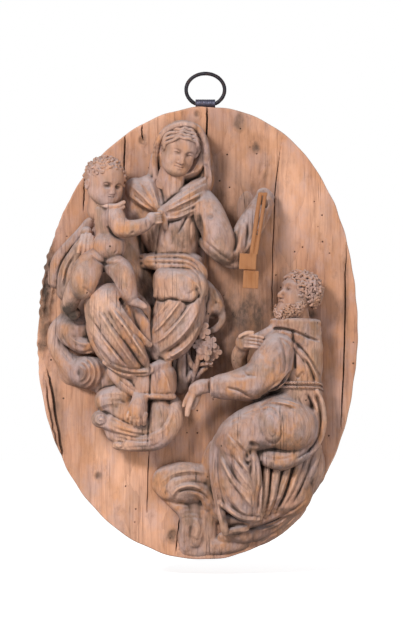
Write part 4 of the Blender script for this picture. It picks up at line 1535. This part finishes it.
woodPatches = {"ochre": (36.0, (3, 7, 1), (0.50, 0.225, 0.095)), "bloom": (30.0, (6, 1, 8), (0.44, 0.335, 0.34)),
               "olive": (42.0, (1, 6, 4), (0.17, 0.125, 0.085))}   # size, place and colour
woodDirt = {"hole": (0.03, 0.015, 0.01), "split": (0.05, 0.03, 0.022), "dust": (0.40, 0.34, 0.35),
            "stain": (0.065, 0.045, 0.035),
            "grime": (0.032, 0.020, 0.015)}
boards = {"perMetre": 13.0, "left": 0.45, "ringsPerMetre": 260.0, "heartDepth": 0.11}


def woodMaterial(name, look):
    material, w, shader = nodeMaterial(name, {"Specular IOR Level": 0.25})
    coords = w.node("ShaderNodeTexCoord").outputs["Object"]
    parts = w.node("ShaderNodeSeparateXYZ")
    w.link(coords, parts.inputs[0])
    x, y = parts.outputs[:2]
    wander = w.noise(coords, 5.0, (1, 1, 0.35), 2.0)
    wander2 = w.noise(coords, 16.0, (1, 1, 0.25), 2.0, move=(3, 1, 7))
    # boards of about 75 mm, each with its own heart line behind it, and rings round that
    board = w.math("FLOOR", w.math("MULTIPLY", w.math("ADD", x, boards["left"]), boards["perMetre"]))
    own = w.made("ShaderNodeTexWhiteNoise", {"W": board}, noise_dimensions="1D")
    heartX = w.math("ADD", w.math("DIVIDE", w.math("ADD", board, 0.5), boards["perMetre"]), -boards["left"])
    offX = w.math("ADD", w.math("SUBTRACT", x, heartX), w.math("MULTIPLY", w.math("SUBTRACT", own, 0.5), 0.05))
    offY = w.math("ADD", y, w.math("ADD", boards["heartDepth"], w.math("MULTIPLY", own, 0.05)))
    sway = w.math("MULTIPLY", w.math("SUBTRACT", wander, 0.5), 0.06)
    away = w.math("SQRT", w.math("ADD", w.math("POWER", w.math("ADD", offX, sway), 2.0), w.math("POWER", offY, 2.0)))
    rings = w.math("ADD", w.math("MULTIPLY", away, boards["ringsPerMetre"]), w.math("MULTIPLY", wander2, 2.4))
    saw = w.math("FRACT", rings)
    late = w.math("POWER", saw, 4.0)
    fibre = w.noise(coords, 900.0, (1, 1, 0.03), 2.0, 0.6)
    fibre2 = w.noise(coords, 300.0, (1, 1, 0.04), 4.0, 0.65, move=(1, 2, 3))
    streak = w.noise(coords, 110.0, (1, 1, 0.05), 3.0, 0.6, move=(7, 2, 1))
    blotch = w.noise(coords, 14.0, (1, 1, 0.5), 5.0, 0.6, move=(5, 5, 5))
    mottle = w.noise(coords, 60.0, (1, 1, 0.6), 5.0, 0.7, move=(2, 8, 5))
    grey = w.noise(coords, 26.0, (1, 1, 0.6), 4.0, 0.6, move=(9, 2, 4))
    base = w.mix(w.span(blotch, 0.36, 0.64), look["tan"], look["pale"])
    base = w.mix(w.span(grey, 0.47, 0.68, (0, look["haze"])), base, look["grey"])
    base = w.mix(w.math("MULTIPLY", late, look["rings"]), base, look["late"])
    for key, (size, move, colour) in woodPatches.items():
        patches = w.noise(coords, size, (1, 1, 0.6), 4.0, 0.65, move=move)
        base = w.mix(w.span(patches, 0.49, 0.62, (0, look[key])), base, colour)
    base = w.mix(w.span(fibre2, 0.50, 0.72, (0, 0.5 * look["fibre"])), base, look["late"])
    base = w.mix(w.span(streak, 0.56, 0.74, (0, 0.42 * look["fibre"])), base, look["late"])
    base = w.mix(w.span(streak, 0.44, 0.28, (0, 0.35)), base, look["pale"])
    base = w.mix(w.span(mottle, 0.56, 0.76, (0, 0.45)), base, look["late"])
    base = w.mix(w.math("MULTIPLY", w.math("SUBTRACT", own, 0.35), 0.35, clamp=True), base, look["late"])
    height = w.math("ADD", w.math("MULTIPLY", fibre2, 0.8),
                    w.math("ADD", w.math("MULTIPLY", fibre, 0.25), w.math("MULTIPLY", saw, 0.25)))
    height = w.math("ADD", height, w.math("MULTIPLY", mottle, 0.6))
    # worm holes as small dark dots
    dots = w.node("ShaderNodeTexVoronoi", feature="F1")
    w.plug(dots, {"Scale": 62.0, "Vector": coords})
    pick = w.made("ShaderNodeSeparateColor", {0: dots.outputs["Color"]})
    hole = w.math("MULTIPLY", w.math("LESS_THAN", dots.outputs["Distance"], 0.085), w.math("GREATER_THAN", pick, 0.84))
    base = w.mix(w.math("MULTIPLY", hole, 0.85), base, woodDirt["hole"])
    hollow, crease, stain = (w.node("ShaderNodeAttribute", attribute_name=key).outputs["Fac"]
                             for key in ("hollow", "crease", "stain"))
    deep = w.span(hollow, 0.0, 0.62, (0, 1), True)
    sharp = w.span(crease, 0.04, 0.42, (0, 1), True)
    edge = w.span(crease, -0.14, -0.50, (0, 1), True)
    grime = w.math("MULTIPLY", w.math("ADD", w.math("MULTIPLY", deep, 0.6), w.math("MULTIPLY", sharp, 0.75)),
                   look["dirt"], clamp=True)
    # thin drying cracks along the grain, in some places only
    split = w.noise(coords, 120.0, (1, 0.06, 0.02), 1.0, 0.4, move=(4, 4, 9))
    line = w.span(w.math("ABSOLUTE", w.math("SUBTRACT", split, 0.5)), 0.0, 0.014, (1, 0))
    dry = w.noise(coords, 26.0, (1.6, 0.3, 0.6), 3.0, 0.6, move=(8, 1, 2))
    line = w.math("MULTIPLY", line, w.span(dry, 0.53, 0.61, (0, look["checks"])))
    base = w.mix(line, base, woodDirt["split"])
    base = w.mix(w.math("MULTIPLY", edge, look["lit"]), base, tuple(min(1.0, 1.12 * c + 0.03) for c in look["pale"]))
    # dust lies on what faces up
    normal = w.node("ShaderNodeSeparateXYZ")
    w.link(w.node("ShaderNodeNewGeometry").outputs["Normal"], normal.inputs[0])
    up = w.span(normal.outputs[2], 0.05, 0.80, (0, 1), True)
    patch = w.span(w.noise(coords, 34.0, (1, 1, 1), 4.0, 0.65), 0.30, 0.58)
    base = w.mix(w.math("MULTIPLY", w.math("MULTIPLY", up, patch), look["dust"], clamp=True), base, woodDirt["dust"])
    base = w.mix(w.span(normal.outputs[2], -0.25, -0.9, (0, 0.55), True), base, look["late"])
    rough = w.math("MULTIPLY", stain, w.span(mottle, 0.35, 0.60, (0.35, 1.0)), clamp=True)
    base = w.mix(rough, base, woodDirt["stain"])
    base = w.mix(w.math("MULTIPLY", grime, 0.93), base, woodDirt["grime"])
    w.plug(shader, {"Base Color": base, "Roughness": w.span(fibre2, 0.3, 0.8, (0.70, 0.9))})
    pits = w.math("ADD", w.math("MULTIPLY", hole, 2.0), w.math("MULTIPLY", line, 1.5))
    w.bump(w.math("SUBTRACT", height, pits), 0.8, 0.0012, shader)
    return material


ironLook = {"ring": (0.022, 0.020, 0.026), "strap": (0.085, 0.085, 0.125), "rust": (0.10, 0.045, 0.025), "metal": 0.7}


def ironMaterial(name, colour, rough):
    material, w, shader = nodeMaterial(name, {"Metallic": ironLook["metal"]})
    coords = w.node("ShaderNodeTexCoord").outputs["Object"]
    patch = w.noise(coords, 140.0, (1, 1, 1), 5.0, 0.65)
    fine = w.noise(coords, 520.0, (1, 1, 1), 3.0, 0.6, move=(2, 2, 2))
    base = w.mix(w.span(patch, 0.5, 0.72, (0, 0.55)), colour, ironLook["rust"])
    base = w.mix(w.span(fine, 0.55, 0.75, (0, 0.4)), base, tuple(min(1, 2.4 * c) for c in colour))
    w.plug(shader, {"Base Color": base, "Roughness": w.span(patch, 0.3, 0.7, (rough - 0.12, rough + 0.15))})
    w.bump(w.math("ADD", patch, w.math("MULTIPLY", fine, 0.4)), 0.6, 0.0005, shader)
    return material


groundWood = woodMaterial("wood of the ground", woodLook["ground"])
figureWood = woodMaterial("wood of the figures", woodLook["figures"])
headWood = woodMaterial("wood of the heads", woodLook["heads"])
slipWood = woodMaterial("lighter wood", woodLook["slip"])
ringMetal = ironMaterial("black iron", ironLook["ring"], 0.5)
strapMetal = ironMaterial("blue grey iron", ironLook["strap"], 0.45)


# put together

def settle(item, material, body, slotName, *nodes):
    item.data.materials.clear()
    item.data.materials.append(material)
    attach(item, body)
    if nodes:
        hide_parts(*nodes)


womanClay = carveWoman()
carveClouds(womanClay)
carveSprig(womanClay)
folds = womanStrokes()
cloudStrokes(folds)
womanClay.relief(folds, above=34)
addFootprint(womanClay)
settle(carvedPiece("woman_and_clouds", womanClay, woman), figureWood, "medallion", "relief_wood")
del womanClay

settle(carvedPiece("child_body", carveChild(), child), figureWood, "medallion", "relief_wood")

manClay = carveMan()
manClay.relief(manStrokes(), above=34)
addFootprint(manClay)
settle(carvedPiece("man_and_rock", manClay, man), figureWood, "medallion", "relief_wood")
del manClay

for headName, look in heads.items():
    place = headPlace(look["centre"], look["size"], look["turn"], look["nod"], look["tilt"])
    settle(carvedPiece(headName, carveHead(look), look, place), headWood, "medallion", "relief_wood")

settle(growCord(figureWood), figureWood, "medallion", "relief_wood")
settle(growBlossoms(figureWood), figureWood, "medallion", "relief_wood")
settle(carvePanel(), groundWood, "medallion", "relief_wood", "carved_relief")
settle(carvedPiece("slip_of_wood", carveSlip(), slip), slipWood, "medallion", "slip_wood", "scapular")
settle(carvedPiece("iron_ring", carveRing(), ringIron), ringMetal, "ring", "ring_iron", "hanging_ring")
settle(carvedPiece("iron_strap", carveStrap(), strapIron), strapMetal, "medallion", "strap_iron", "ring_strap")
for nailName in ("strap_nail_upper", "strap_nail_lower"):
    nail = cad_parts[nailName]
    nail.data.materials.clear()
    nail.data.materials.append(ringMetal)


# floor, light and camera

studio = {
    "keyPower": 150, "keySize": 0.9, "keyPlace": (-1.7, -3.4, 1.75), "keyColour": (1.0, 0.98, 0.95),
    "fillPower": 30, "fillSize": 1.8, "fillPlace": (2.0, -2.6, -0.1), "fillColour": (0.95, 0.97, 1.0),
    "skyForCamera": 1.0, "skyForLight": 0.46, "floorHeight": -0.325, "floorGlow": 0.62,
}
view = {"distance": 6.0, "frameHeight": 0.82667, "centre": (0.006, -0.06, 0.0313)}


def areaLight(name, target, place, size, power, colour):
    data = bpy.data.lights.new(name, "AREA")
    data.shape = "DISK"
    data.size = size
    data.energy = power
    data.color = colour
    item = bpy.data.objects.new(name, data)
    bpy.context.scene.collection.objects.link(item)
    item.location = place
    item.rotation_euler = (Vector(target) - Vector(place)).to_track_quat("-Z", "Y").to_euler()


floorMaterial, w, shader = nodeMaterial("pale floor",
                                        {"Base Color": (0.9, 0.9, 0.9, 1), "Roughness": 0.9, "Specular IOR Level": 0.0,
                                                       "Emission Color": (1, 1, 1, 1)})
# the floor is brightened for the camera alone
seen = w.node("ShaderNodeLightPath").outputs["Is Camera Ray"]
w.link(w.math("MULTIPLY", seen, studio["floorGlow"]), shader.inputs["Emission Strength"])
bpy.ops.mesh.primitive_plane_add(size=9, location=(0, 0, studio["floorHeight"]))
floor = bpy.context.object
floor.name = "floor"
floor.data.materials.append(floorMaterial)
areaLight("key", (0, 0, -0.04), *(studio[key] for key in ("keyPlace", "keySize", "keyPower", "keyColour")))
areaLight("fill", (0, 0, -0.05), *(studio[key] for key in ("fillPlace", "fillSize", "fillPower", "fillColour")))

world = bpy.data.worlds.new("studio")
bpy.context.scene.world = world
world.use_nodes = True
world.node_tree.nodes.clear()
w = Wiring(world.node_tree)
seen = w.made("ShaderNodeBackground", {0: (1, 1, 1, 1), 1: studio["skyForCamera"]})
lit = w.made("ShaderNodeBackground", {0: (0.96, 0.98, 1.0, 1), 1: studio["skyForLight"]})
sky = w.made("ShaderNodeMixShader", {0: w.node("ShaderNodeLightPath").outputs["Is Camera Ray"], 1: lit, 2: seen})
w.link(sky, w.node("ShaderNodeOutputWorld").inputs["Surface"])

cameraData = bpy.data.cameras.new("camera")
cameraData.lens = 36.0 * view["distance"] / view["frameHeight"]
cameraData.clip_end = 50
camera = bpy.data.objects.new("camera", cameraData)
bpy.context.scene.collection.objects.link(camera)
camera.location = (view["centre"][0], view["centre"][1] - view["distance"], view["centre"][2])
camera.rotation_euler = (math.radians(90), 0, 0)
bpy.context.scene.camera = camera
bpy.context.scene.view_settings.view_transform = "Standard"

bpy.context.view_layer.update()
stage("finished")
